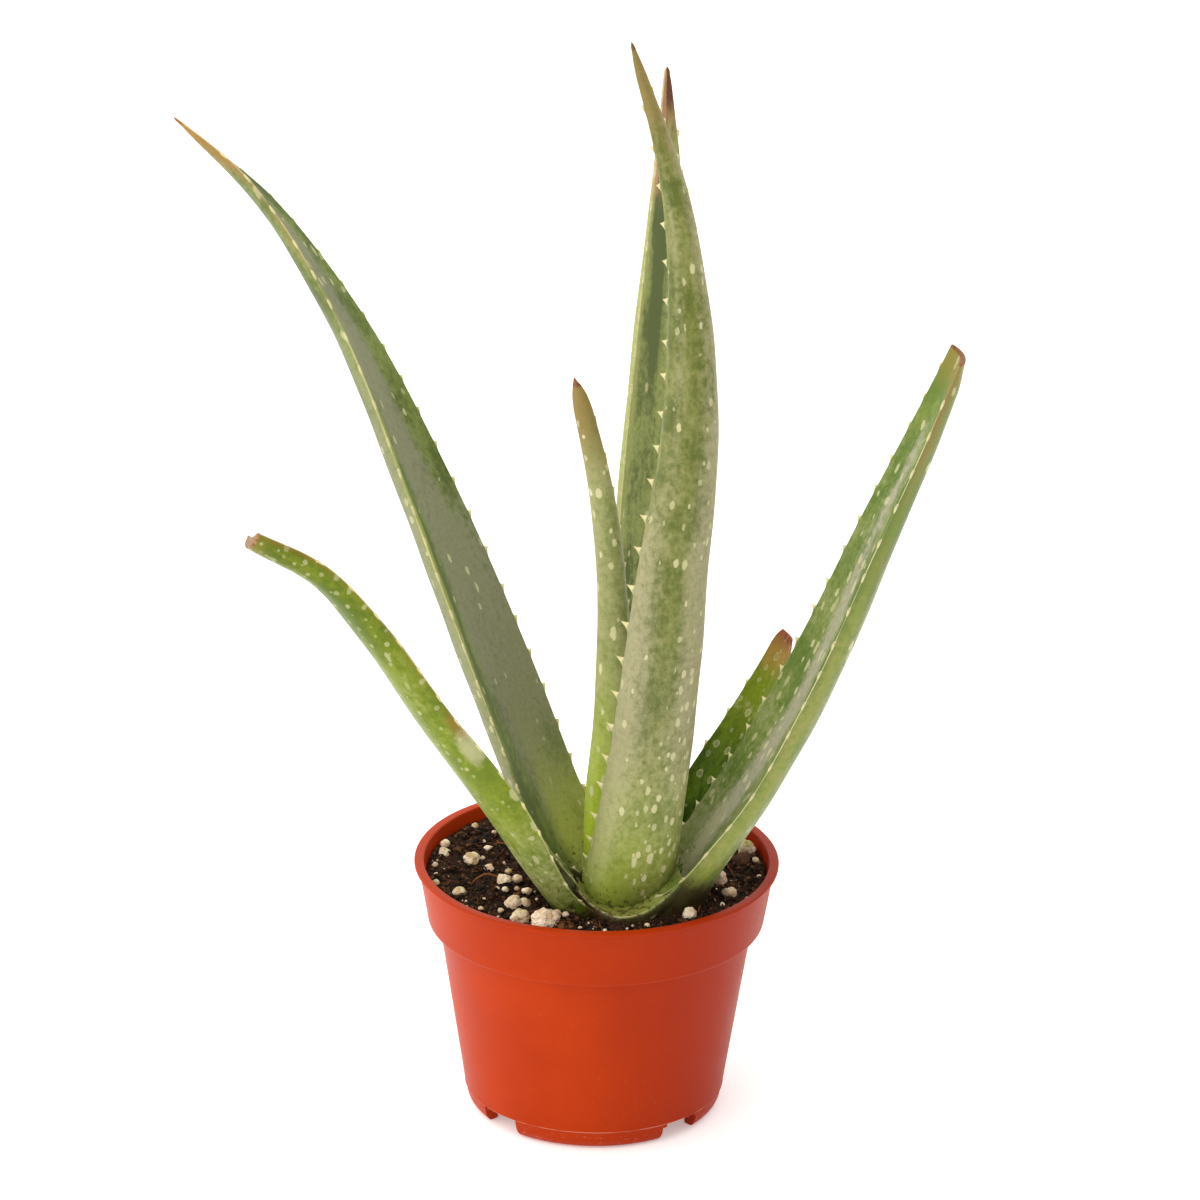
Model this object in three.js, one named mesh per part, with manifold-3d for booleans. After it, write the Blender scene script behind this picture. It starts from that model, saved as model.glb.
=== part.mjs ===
// A young aloe in its 105 mm nursery pot: pot, soil, pumice lumps, rootstock and seven toothed leaves.
// Millimetres, +Z up. The origin ends on the resting plane, below the middle of the whole plant.
import * as THREE from 'three';
import { mergeVertices } from 'three/addons/utils/BufferGeometryUtils.js';
import Module from 'manifold-3d';

const wasm = await Module();
wasm.setup();

const { clamp, lerp, degToRad } = THREE.MathUtils;

// ---------------------------------------------------------------- driving dimensions

const GAP = 0.3; // air between two pieces that touch

// pot, round its own axis, standing on z = 0
const POT_HEIGHT = 75;
const RIM_RADIUS = 52.5; // outside of the lip ring
const LIP_REACH = 1.2; // the lip stands this far out past the band
const LIP_DEPTH = 1;
const BAND_FOOT_RADIUS = 48.5; // the band under the lip is a slightly tapered collar
const BAND_FOOT_HEIGHT = 57.3;
const BODY_TOP_RADIUS = 45.4;
const FOOT_HEIGHT = 5.6; // the moulding seam, where the wall turns in to the feet
const SEAM_RADIUS = 37.6;
const FOOT_RADIUS = 35.2;
const FOOT_INNER_RADIUS = 32.3;
const POT_WALL = 1.2;
const FLOOR_THICKNESS = 1.5;
const POT_SEGMENTS = 48;
const NOTCHES = 4; // gaps between the feet, where water runs out
const NOTCH_WIDTH = 13;
const NOTCH_TURN = 43; // degrees from +X to the first notch
const DRAIN_RADIUS = 4;
const DRAIN_RING_RADIUS = 25;

// soil
const SOIL_HEIGHT = 71.2; // its level at the wall
const SOIL_CROWN = 0.8; // the middle is this much higher
const SOIL_RINGS = 8;
const SOIL_SEGMENTS = 32;
const CRUMBS = 12;

// rootstock, the short stem that carries the leaves
const STEM = { x: 6, y: -12 };
const STEM_GIRTH = [[42, 5], [56, 6.5], [69, 7], [76, 5], [86, 2.2]]; // height, radius

// leaves: [x, y, z, width] down the middle of the hollow face, from the stem to the tip.
// face is the way the hollow looks, in degrees from +X, at the base, on the blade and at the tip;
// fold is how far the blade is rolled up across, in degrees; bulk is its depth over its width.
const STATION_STEP = 13.5; // along the leaf
const LEAF_ACROSS = 6; // spans from margin to margin, on either face
const MARGIN_DEPTH = 0.8;
const TWIST_END = 0.35; // the twist from the base ends, and the slow one to the tip starts, here
const SHEATH_END = 0.14; // and so is the tight roll round the stem
const TIP_STATIONS = [5, 2.8, 1, 0]; // the blunt tip rounds off over these distances from its end
const TIP_NARROWING = 0.73; // share of the width lost at the very end
const BELLY = [2.4, 0.75]; // powers that shape the thick middle of the cross-section

const LEAVES = [
  {
    name: 'leaf_front_tall',
    colour: 0x87a271,
    seed: 14655,
    spine: [
      [7, -17.5, 62, 13], [8.3, -22, 71, 20], [10.5, -27, 84, 22.5], [15.5, -34, 122, 21],
      [20, -36, 170, 18.5], [25, -28, 224, 13.5], [20, -12, 278, 6.5], [7, 4, 318, 1.2],
    ],
    face: [106, 106, 106], fold: [160, 108], bulk: 0.32, tooth: 2.5,
  },
  {
    name: 'leaf_right_long',
    colour: 0x7f9a6c,
    seed: 20517,
    spine: [
      [20, -13, 62, 30], [28, -18, 82, 26], [45, -23, 112, 23], [62, -25, 148, 22],
      [76, -27, 184, 18], [88, -29, 214, 14.5], [99, -30, 243, 10],
    ],
    face: [175, 192, 192], fold: [205, 72], bulk: 0.28, tooth: 1.3,
  },
  {
    name: 'leaf_left_low',
    colour: 0x6f8f45,
    seed: 12701,
    spine: [
      [-2, -20, 63, 18], [-13, -26, 82, 20], [-27, -33, 108, 22.5], [-45, -40, 135.5, 19],
      [-61, -48, 162.5, 15.5], [-77, -56, 184.5, 12], [-95, -64, 198, 8],
    ],
    face: [12, 24, 36], fold: [150, 56], bulk: 0.29, tooth: 1.2,
  },
  {
    name: 'leaf_centre_short',
    colour: 0x86a75a,
    seed: 16609,
    spine: [
      [2, -14, 72, 9], [1.5, -16, 90, 10], [3.2, -18, 123, 9.6], [3.3, -19, 158, 7.6],
      [-0.3, -18, 194, 6], [-7.6, -15, 226.5, 4],
    ],
    face: [72, 64, 64], fold: [150, 118], bulk: 0.34, tooth: 1,
  },
  {
    name: 'leaf_left_tall',
    colour: 0x74886a,
    seed: 13678,
    spine: [
      [0, -8, 65, 22], [-10, -3, 82, 25], [-29, 7, 128, 25], [-50, 19, 178, 21.5],
      [-73, 31, 226, 16], [-98, 44, 260, 9.5], [-122, 57, 278, 2.4],
    ],
    face: [-33, -34, -8], fold: [150, 65], bulk: 0.24, tooth: 1.1,
  },
  {
    name: 'leaf_right_short',
    colour: 0x4f7030,
    seed: 15632,
    spine: [[12, -8, 65, 20], [21, -2, 78, 18], [32, 6, 96, 15.5], [45, 15, 117, 12], [54, 22, 136, 7]],
    face: [216, 218, 218], fold: [150, 60], bulk: 0.28, tooth: 1.2,
  },
  {
    name: 'leaf_back_tall',
    colour: 0x6d8a5c,
    seed: 18563,
    spine: [
      [7, -5, 68, 24], [9, 4, 88, 22.5], [11.8, 18, 128, 20.5], [13.7, 28, 178, 19],
      [15.7, 34, 228, 14.6], [17, 38, 276, 6.5], [17, 40, 299.5, 1.5],
    ],
    face: [-82, -70, -62], fold: [150, 88], bulk: 0.28, tooth: 1.3,
  },
];

// marginal teeth
const TOOTH_LENGTH = 3; // along the margin
const TOOTH_DEPTH = 0.9;
const TOOTH_ROOT = 1; // sunk into the blade
const TOOTH_HOOK = 1.2; // the point leans this far towards the leaf tip
const TOOTH_PITCH = [4.5, 10.5]; // at the base, and further on
const PITCH_RISE = 0.16; // the teeth reach their wide spacing at this part of the length
const TOOTH_FADE = 0.5; // share of its height a tooth keeps towards the leaf tip
const TOOTH_CLEAR = 9; // bare margin at either end

// pumice and perlite lumps: [x, y, radius, height over radius]
const LUMPS = [
  [-14.5, -38, 4, 0.8], [-21.5, -35, 2.5, 0.9], [-23.5, -26, 2.4, 0.8], [-36, 3.5, 2.3, 0.9],
  [-39, -18.5, 1.9, 0.9], [-26.5, -12, 2.2, 0.8], [26.5, -32.5, 1.9, 1.1], [34.5, -9.5, 2.8, 1.2],
  [38, -17.5, 1.9, 1], [43.5, 14.5, 2.6, 0.9], [-44, 9.5, 1.7, 0.9], [-31, -0.5, 1.6, 0.8],
];

// ---------------------------------------------------------------- helpers

// numbers from 0 to 1 in a fixed order, the same on every run
function seededDraw(seed) {
  let state = seed;
  return () => {
    state = (state * 1664525 + 1013904223) % 4294967296;
    return state / 4294967296;
  };
}

function smoothRise(x, end) {
  const k = clamp(x / end, 0, 1);
  return k * k * (3 - 2 * k);
}

// a closed three.js geometry as a solid that can be joined and cut
function toSolid(geometry) {
  const bare = new THREE.BufferGeometry();
  bare.setAttribute('position', geometry.getAttribute('position'));
  bare.setIndex(geometry.getIndex());
  const merged = mergeVertices(bare);
  const corners = merged.getIndex().array;
  const kept = [];
  for (let i = 0; i < corners.length; i += 3) {
    const [a, b, c] = [corners[i], corners[i + 1], corners[i + 2]];
    if (a !== b && b !== c && c !== a) kept.push(a, b, c);
  }
  return new wasm.Manifold(new wasm.Mesh({
    numProp: 3,
    vertProperties: new Float32Array(merged.getAttribute('position').array),
    triVerts: new Uint32Array(kept),
  }));
}

function toGeometry(solid) {
  const mesh = solid.getMesh();
  const geometry = new THREE.BufferGeometry();
  geometry.setAttribute('position', new THREE.BufferAttribute(new Float32Array(mesh.vertProperties), 3));
  geometry.setIndex([...mesh.triVerts]);
  geometry.computeVertexNormals();
  return geometry;
}

// what is left of a solid once its loose scraps are dropped
function largestPiece(solid) {
  return solid.decompose().reduce((best, piece) => (piece.volume() > best.volume() ? piece : best));
}

function turned(profile, segments) {
  const points = profile.map(([r, z]) => new THREE.Vector2(r, z));
  return new THREE.LatheGeometry(points, segments).rotateX(Math.PI / 2);
}

const group = new THREE.Group();
const materials = {};

function addPiece(name, solid, look) {
  const key = JSON.stringify(look);
  materials[key] ??= new THREE.MeshStandardMaterial(look);
  const mesh = new THREE.Mesh(toGeometry(solid), materials[key]);
  mesh.name = name;
  group.add(mesh);
}

// ---------------------------------------------------------------- pot

const bandTopRadius = RIM_RADIUS - LIP_REACH;
const lipFootHeight = POT_HEIGHT - LIP_DEPTH;
const floorFoot = FOOT_HEIGHT - 0.2;
const floorTop = floorFoot + FLOOR_THICKNESS;
const innerRadii = {
  top: bandTopRadius - 1.6,
  step: BAND_FOOT_RADIUS - POT_WALL,
  body: BODY_TOP_RADIUS - POT_WALL,
  floor: SEAM_RADIUS - POT_WALL + 0.2,
};

function makePot() {
  const wall = turned([
    [0, floorFoot],
    [FOOT_INNER_RADIUS, floorFoot],
    [FOOT_INNER_RADIUS, 0],
    [FOOT_RADIUS, 0],
    [SEAM_RADIUS - 0.9, 1.8],
    [SEAM_RADIUS, FOOT_HEIGHT],
    [BODY_TOP_RADIUS, BAND_FOOT_HEIGHT - 0.6],
    [BAND_FOOT_RADIUS - 0.6, BAND_FOOT_HEIGHT - 0.6],
    [BAND_FOOT_RADIUS, BAND_FOOT_HEIGHT],
    [bandTopRadius, lipFootHeight],
    [RIM_RADIUS, lipFootHeight],
    [RIM_RADIUS, POT_HEIGHT],
    [innerRadii.top, POT_HEIGHT],
    [innerRadii.step, BAND_FOOT_HEIGHT + 1],
    [innerRadii.body, BAND_FOOT_HEIGHT - 0.6],
    [innerRadii.floor, floorTop],
    [0, floorTop],
  ], POT_SEGMENTS);
  let pot = toSolid(wall);
  for (let i = 0; i < NOTCHES; i += 1) {
    const angle = degToRad(NOTCH_TURN + (360 / NOTCHES) * i);
    const middle = (FOOT_INNER_RADIUS + SEAM_RADIUS) / 2;
    const notch = new THREE.BoxGeometry(SEAM_RADIUS - FOOT_INNER_RADIUS + 4, NOTCH_WIDTH, 2 * floorFoot)
      .translate(middle, 0, 0).rotateZ(angle);
    const drain = new THREE.CylinderGeometry(DRAIN_RADIUS, DRAIN_RADIUS, 2 * FLOOR_THICKNESS + 2, 12)
      .rotateX(Math.PI / 2).translate(DRAIN_RING_RADIUS, 0, floorFoot).rotateZ(angle);
    pot = pot.subtract(toSolid(notch)).subtract(toSolid(drain));
  }
  return pot;
}

addPiece('pot', makePot(), { color: 0xc8502a, roughness: 0.42, metalness: 0 });

// ---------------------------------------------------------------- rootstock

function stemSolid(grow) {
  const profile = STEM_GIRTH.map(([z, r]) => [r + grow, z]);
  const foot = profile[0];
  const top = profile.at(-1);
  foot[1] -= grow;
  top[1] += grow;
  return toSolid(turned([[0, foot[1]], ...profile, [0, top[1]]], 18).translate(STEM.x, STEM.y, 0));
}

addPiece('stem', stemSolid(0), { color: 0x8a7f4a, roughness: 0.8, metalness: 0 });

// ---------------------------------------------------------------- leaves

// the curve, length and sizes of a leaf, ready to be asked for at any part u of its length
function readLeaf(leaf) {
  const curve = new THREE.CatmullRomCurve3(leaf.spine.map(([x, y, z]) => new THREE.Vector3(x, y, z)));
  const widths = new THREE.SplineCurve(leaf.spine.map((row, k) => new THREE.Vector2(k, row[3])));
  return { ...leaf, curve, widths, length: curve.getLength() };
}

function frameAt(leaf, u) {
  const t = leaf.curve.getUtoTmapping(u);
  const centre = leaf.curve.getPoint(t);
  const along = leaf.curve.getTangent(t);
  const [baseFace, bladeFace, tipFace] = leaf.face;
  const face = degToRad(lerp(baseFace, bladeFace, smoothRise(u, TWIST_END))
    + (tipFace - bladeFace) * smoothRise(u - TWIST_END, 1 - TWIST_END));
  const hollow = new THREE.Vector3(Math.cos(face), Math.sin(face), 0);
  hollow.addScaledVector(along, -hollow.dot(along)).normalize();
  const across = new THREE.Vector3().crossVectors(along, hollow);
  const toTip = clamp(1 - ((1 - u) * leaf.length) / TIP_STATIONS[0], 0, 1);
  const rounding = Math.sqrt(1 - (1 - (1 - TIP_NARROWING) ** 2) * toTip * toTip);
  const width = Math.max(1, leaf.widths.getPoint(t).y * rounding);
  const halfFold = degToRad(lerp(leaf.fold[0], leaf.fold[1], smoothRise(u, SHEATH_END))) / 2;
  return { centre, along, hollow, across, width, halfFold, roll: width / (2 * Math.sin(halfFold)) };
}

// a point of the leaf's skin: s runs from -1 to 1, margin to margin; grow swells the leaf
function skinPoint(leaf, frame, s, isUnder, grow) {
  const angle = s * (frame.halfFold + grow / frame.roll);
  const bulk = Math.max(MARGIN_DEPTH * 1.2, frame.width * leaf.bulk);
  const depth = MARGIN_DEPTH + (bulk - MARGIN_DEPTH) * (1 - Math.abs(s) ** BELLY[0]) ** BELLY[1];
  const reach = isUnder ? frame.roll + depth + grow : frame.roll - grow;
  return frame.centre.clone()
    .addScaledVector(frame.hollow, frame.roll - reach * Math.cos(angle))
    .addScaledVector(frame.across, reach * Math.sin(angle));
}

function bladeSolid(leaf, grow) {
  const count = Math.round(leaf.length / STATION_STEP);
  const tip = TIP_STATIONS.map((back) => 1 - back / leaf.length);
  const stations = [...Array.from({ length: count }, (_, k) => (tip[0] * k) / count), ...tip];
  const ring = 2 * (LEAF_ACROSS + 1);
  const positions = [];
  stations.forEach((u, k) => {
    const frame = frameAt(leaf, u);
    if (k === 0) frame.centre.addScaledVector(frame.along, -grow);
    if (k === stations.length - 1) frame.centre.addScaledVector(frame.along, grow);
    for (let j = 0; j < ring; j += 1) {
      const isUnder = j > LEAF_ACROSS;
      const step = isUnder ? ring - 1 - j : j;
      positions.push(...skinPoint(leaf, frame, (2 * step) / LEAF_ACROSS - 1, isUnder, grow).toArray());
    }
  });
  const corners = [];
  for (let k = 0; k < stations.length - 1; k += 1) {
    for (let j = 0; j < ring; j += 1) {
      const [a, b] = [k * ring + j, k * ring + ((j + 1) % ring)];
      corners.push(a, b, b + ring, a, b + ring, a + ring);
    }
  }
  const end = (stations.length - 1) * ring;
  for (let j = 0; j < LEAF_ACROSS; j += 1) {
    const [a, b, c, d] = [j, j + 1, ring - 2 - j, ring - 1 - j];
    corners.push(a, c, b, a, d, c);
    corners.push(end + a, end + b, end + c, end + a, end + c, end + d);
  }
  const geometry = new THREE.BufferGeometry();
  geometry.setAttribute('position', new THREE.Float32BufferAttribute(positions, 3));
  geometry.setIndex(corners);
  return toSolid(geometry);
}

// one hooked tooth: a four-sided spike whose root is sunk into the margin
function toothSolid(frame, side, height, grow) {
  const angle = side * frame.halfFold;
  const edge = frame.roll + MARGIN_DEPTH / 2;
  const root = frame.centre.clone()
    .addScaledVector(frame.hollow, frame.roll - edge * Math.cos(angle))
    .addScaledVector(frame.across, edge * Math.sin(angle));
  const out = frame.across.clone().multiplyScalar(side * Math.cos(angle))
    .addScaledVector(frame.hollow, side * Math.sin(angle));
  const through = new THREE.Vector3().crossVectors(frame.along, out);
  const place = (along, outward, depth) => root.clone().addScaledVector(frame.along, along)
    .addScaledVector(out, outward).addScaledVector(through, depth);
  const half = TOOTH_LENGTH / 2 + grow;
  const thick = TOOTH_DEPTH / 2 + grow;
  const points = [
    place(-half, -TOOTH_ROOT, 0), place(0, -TOOTH_ROOT, thick), place(half, -TOOTH_ROOT, 0),
    place(0, -TOOTH_ROOT, -thick), place(TOOTH_HOOK, height + 2 * grow, 0),
  ];
  const geometry = new THREE.BufferGeometry().setFromPoints(points);
  geometry.setIndex([0, 2, 1, 0, 3, 2, 0, 1, 4, 1, 2, 4, 2, 3, 4, 3, 0, 4]);
  return toSolid(geometry);
}

function leafSolid(leaf, grow) {
  const draw = seededDraw(leaf.seed);
  const teeth = [];
  for (const side of [-1, 1]) {
    let along = TOOTH_CLEAR + 3 * draw();
    while (along < leaf.length - TOOTH_CLEAR) {
      const u = along / leaf.length;
      const rise = smoothRise(u, PITCH_RISE);
      const height = leaf.tooth * lerp(0.6, 1, rise) * lerp(1, TOOTH_FADE, clamp(2 * u - 0.8, 0, 1));
      teeth.push(toothSolid(frameAt(leaf, u), side, height, grow));
      along += lerp(...TOOTH_PITCH, rise) * (0.88 + 0.24 * draw());
    }
  }
  return teeth.reduce((solid, tooth) => solid.add(tooth), bladeSolid(leaf, grow));
}

const cutters = [stemSolid(GAP)]; // everything built so far, swollen by the gap

for (const leaf of LEAVES.map(readLeaf)) {
  let solid = leafSolid(leaf, 0);
  for (const cutter of cutters) solid = solid.subtract(cutter);
  addPiece(leaf.name, largestPiece(solid), { color: leaf.colour, roughness: 0.5, metalness: 0 });
  cutters.push(leafSolid(leaf, GAP));
}

// ---------------------------------------------------------------- soil and lumps

// the loose, uneven surface of the potting mix, as overlapping waves
function soilRelief(x, y) {
  return 0.7 * Math.sin(0.31 * x + 1.3) * Math.cos(0.27 * y + 0.4)
    + 0.45 * Math.sin(0.74 * x - 0.55 * y) + 0.35 * Math.cos(0.9 * y + 0.35 * x + 2);
}

const clearance = GAP + 0.15; // the soil has fewer sides than the wall round it
const upTheCollar = (SOIL_HEIGHT - BAND_FOOT_HEIGHT - 1) / (POT_HEIGHT - BAND_FOOT_HEIGHT - 1);
const soilRadius = lerp(innerRadii.step, innerRadii.top, upTheCollar) - clearance;

function soilLevel(x, y) {
  const part = clamp(Math.hypot(x, y) / soilRadius, 0, 1);
  const inside = 1 - part ** 6;
  return SOIL_HEIGHT + SOIL_CROWN * (1 - part * part) + inside * soilRelief(x, y);
}

function lumpSolid(x, y, radius, tall, draw, grow) {
  const ball = new THREE.IcosahedronGeometry(radius, 1);
  ball.deleteAttribute('normal');
  ball.deleteAttribute('uv');
  const lump = mergeVertices(ball);
  const place = lump.getAttribute('position');
  for (let i = 0; i < place.count; i += 1) {
    const k = (0.86 + 0.28 * draw()) * (1 + grow / radius);
    place.setXYZ(i, place.getX(i) * k, place.getY(i) * k, place.getZ(i) * k * tall);
  }
  return toSolid(lump.translate(x, y, soilLevel(x, y) + 0.35 * radius * tall));
}

function makeSoil() {
  const foot = floorTop + GAP;
  const rings = Array.from({ length: SOIL_RINGS }, (_, k) => soilRadius * (1 - k / SOIL_RINGS));
  const geometry = turned([
    [0, foot],
    [innerRadii.floor - clearance, foot],
    [innerRadii.body - clearance, BAND_FOOT_HEIGHT - 0.6],
    [innerRadii.step - clearance, BAND_FOOT_HEIGHT + 1],
    ...rings.map((r) => [r, SOIL_HEIGHT]),
    [0, SOIL_HEIGHT],
  ], SOIL_SEGMENTS);
  const place = geometry.getAttribute('position');
  for (let i = 0; i < place.count; i += 1) {
    if (place.getZ(i) > SOIL_HEIGHT - 0.01) place.setZ(i, soilLevel(place.getX(i), place.getY(i)));
  }
  let soil = toSolid(geometry);
  const draw = seededDraw(11);
  for (let i = 0; i < CRUMBS; i += 1) {
    const angle = 2 * Math.PI * draw();
    const reach = soilRadius * (0.35 + 0.55 * draw());
    const size = 0.7 + 0.7 * draw();
    const crumb = new THREE.OctahedronGeometry(size).rotateZ(angle)
      .translate(reach * Math.cos(angle), reach * Math.sin(angle), 0);
    crumb.translate(0, 0, soilLevel(reach * Math.cos(angle), reach * Math.sin(angle)) + 0.3 * size);
    soil = soil.add(toSolid(crumb));
  }
  return soil;
}

const plantCutters = [...cutters];
let soil = makeSoil();
LUMPS.forEach(([x, y, radius, tall], k) => {
  let lump = lumpSolid(x, y, radius, tall, seededDraw(k + 5), 0);
  for (const cutter of plantCutters) lump = lump.subtract(cutter);
  const name = `pumice_${String(k + 1).padStart(2, '0')}`;
  addPiece(name, largestPiece(lump), { color: 0xd9cdb0, roughness: 0.95, metalness: 0 });
  soil = soil.subtract(lumpSolid(x, y, radius, tall, seededDraw(k + 5), GAP));
});
for (const cutter of plantCutters) soil = soil.subtract(cutter);
addPiece('soil', largestPiece(soil), { color: 0x33241a, roughness: 1, metalness: 0 });

// ---------------------------------------------------------------- origin

// the whole plant is slid so that the middle of its box is over the origin
const box = new THREE.Box3().setFromObject(group);
group.position.set(-(box.min.x + box.max.x) / 2, -(box.min.y + box.max.y) / 2, -box.min.z);
group.updateMatrixWorld(true);

export default group;
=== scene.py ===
# %% [markdown]
# # A young aloe in its nursery pot
# The plant is seven fleshy leaves on one short rootstock, in a thin plastic pot of peat and pumice.
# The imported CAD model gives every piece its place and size. Here each piece gets a finer skin: the
# leaves their rounded teeth, spots and wax, the soil its crumbs and fibres, the pot its soft
# mouldings and dust. Blender works in metres with +Z up, but a leaf is easier to think of in
# millimetres round the pot's own axis, so the sizes below are millimetres until a mesh is made.

import math

import bmesh
import bpy
import numpy as np
from mathutils import Matrix, Vector, noise


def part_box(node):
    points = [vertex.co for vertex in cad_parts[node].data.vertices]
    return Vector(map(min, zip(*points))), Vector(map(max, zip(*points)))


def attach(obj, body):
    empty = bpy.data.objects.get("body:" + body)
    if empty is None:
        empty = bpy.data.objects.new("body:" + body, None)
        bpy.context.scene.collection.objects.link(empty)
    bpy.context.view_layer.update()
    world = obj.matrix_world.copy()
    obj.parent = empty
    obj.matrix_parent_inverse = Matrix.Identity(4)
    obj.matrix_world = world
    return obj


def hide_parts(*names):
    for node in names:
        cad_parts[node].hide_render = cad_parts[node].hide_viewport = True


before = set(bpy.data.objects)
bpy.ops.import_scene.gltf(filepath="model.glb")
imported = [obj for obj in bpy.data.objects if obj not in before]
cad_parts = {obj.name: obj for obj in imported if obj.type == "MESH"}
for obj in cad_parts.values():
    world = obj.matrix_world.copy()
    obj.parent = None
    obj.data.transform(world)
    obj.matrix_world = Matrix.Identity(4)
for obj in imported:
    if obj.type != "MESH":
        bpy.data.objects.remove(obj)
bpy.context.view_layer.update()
MM = 0.001
pot_low, pot_high = [np.array(corner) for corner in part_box("pot")]
pot_axis = (pot_low + pot_high) / 2 * [1, 1, 0]
print("pot axis in mm:", np.round(pot_axis / MM, 2).tolist())

# %% [markdown]
# ## Making a piece
# Every piece of this plant is a list of points and faces worked out with NumPy, because a leaf or a
# clod of soil has no plain starting shape. One function turns such lists into a Blender object with its
# finish, hangs it on the root body and hides the CAD solids that it stands for.

# %% From points and faces to a piece


def make_piece(name, points, faces, finish, nodes=(), marks=None):
    """A smooth piece from points in mm round the pot's axis; marks are values kept at its points."""
    mesh = bpy.data.meshes.new(name)
    mesh.from_pydata((np.asarray(points) * MM + pot_axis).tolist(), [], faces)
    for mark, values in (marks or {}).items():
        is_vector = values.ndim == 2
        kept = mesh.attributes.new(mark, "FLOAT_VECTOR" if is_vector else "FLOAT", "POINT")
        kept.data.foreach_set("vector" if is_vector else "value", values.astype(np.float32).ravel())
    mesh.shade_smooth()
    mesh.materials.append(finish)
    piece = bpy.data.objects.new(name, mesh)
    bpy.context.scene.collection.objects.link(piece)
    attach(piece, "root")
    if nodes:
        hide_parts(*nodes)
    print(name, "points:", len(mesh.vertices), "faces:", len(mesh.polygons))


# %% [markdown]
# ## Building a finish
# A finish is a graph of nodes. Writing each node and link out by hand is long, so this small class
# adds one node for each call and gives back its output, which the next call can use. A colour is
# given as it looks on a screen and turned into the linear light that a shader works in.

# %% A helper for finishes


def paint(code):
    """A screen colour such as 0x87A271 as a shader's linear colour."""
    parts = [((code >> shift) & 255) / 255 for shift in (16, 8, 0)]
    return (*[c / 12.92 if c <= 0.04045 else ((c + 0.055) / 1.055) ** 2.4 for c in parts], 1.0)


class Finish:
    """One material, built by calls that each add a node and give back its output."""

    def __init__(self, name, **sockets):
        self.material = bpy.data.materials.new(name)
        self.material.use_nodes = True
        self.tree = self.material.node_tree
        self.shader = self.tree.nodes["Principled BSDF"]
        self.shade(**sockets)

    def shade(self, **sockets):
        """Set or link the shader's own sockets."""
        for name, value in sockets.items():
            self.give(self.shader.inputs[name.replace("_", " ")], value)

    def give(self, socket, value):
        """Link another node's output to a socket, or set a constant on it."""
        if isinstance(value, bpy.types.NodeSocket):
            self.tree.links.new(value, socket)
        else:
            socket.default_value = value

    def node(self, kind, output=0, choices=None, **sockets):
        """Add a node of a kind, set its choices and sockets, and give back one output."""
        made = self.tree.nodes.new("ShaderNode" + kind)
        for name, choice in (choices or {}).items():
            setattr(made, name, choice)
        for name, value in sockets.items():
            self.give(made.inputs[name.replace("_", " ")], value)
        return made.outputs[output]

    def math(self, operation, *values):
        made = self.tree.nodes.new("ShaderNodeMath")
        made.operation = operation
        for socket, value in zip(made.inputs, values):
            self.give(socket, value)
        return made.outputs[0]

    def times(self, first, *others):
        for other in others:
            first = self.math("MULTIPLY", first, other)
        return first

    def plus(self, first, *others):
        for other in others:
            first = self.math("ADD", first, other)
        return first

    def sway(self, value, amount):
        """A noise of 0 to 1 turned into a change of half the amount either way."""
        return self.times(self.math("SUBTRACT", value, 0.5), amount)

    def mix(self, share, low, high):
        """A colour between low, where the share is 0, and high, where it is 1."""
        made = self.tree.nodes.new("ShaderNodeMix")
        made.data_type = "RGBA"
        for place, value in ((0, share), (6, low), (7, high)):
            self.give(made.inputs[place], value)
        return made.outputs[2]

    def rise(self, value, low, high, bottom=0.0, top=1.0):
        """An eased step from bottom to top as the value goes from low to high."""
        return self.node("MapRange", 0, {"interpolation_type": "SMOOTHSTEP"}, Value=value,
                         From_Min=low, From_Max=high, To_Min=bottom, To_Max=top)

    def mark(self, name):
        """A value that was kept at the points of the mesh."""
        return self.node("Attribute", "Fac", {"attribute_name": name})

    def stretch(self, vector, x, y, z):
        made = self.tree.nodes.new("ShaderNodeVectorMath")
        made.operation = "MULTIPLY"
        self.give(made.inputs[0], vector)
        made.inputs[1].default_value = (x, y, z)
        return made.outputs[0]

    def cloud(self, vector, scale, detail=2.0, roughness=0.5):
        """Smooth noise of 0 to 1; the scale is how many lumps fit in a metre, or in a mm of leaf_place."""
        return self.node("TexNoise", Vector=vector, Scale=scale, Detail=detail, Roughness=roughness)

    def bump(self, height, distance, strength):
        """A relief that only the light sees, as deep as the distance in metres."""
        return self.node("Bump", Height=height, Distance=distance, Strength=strength)


# %% [markdown]
# ## The line of a leaf
# An aloe leaf is a long tapering strip that leaves the rootstock, leans out and bends back up. Its
# middle line is drawn through a few stations, each a point and a width, by the same centripetal
# Catmull-Rom curve that the CAD solid was made with. Using the same rows and the same curve is what
# makes the fine leaf lie exactly in the solid's place.

# %% The curve through a leaf's stations


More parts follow.
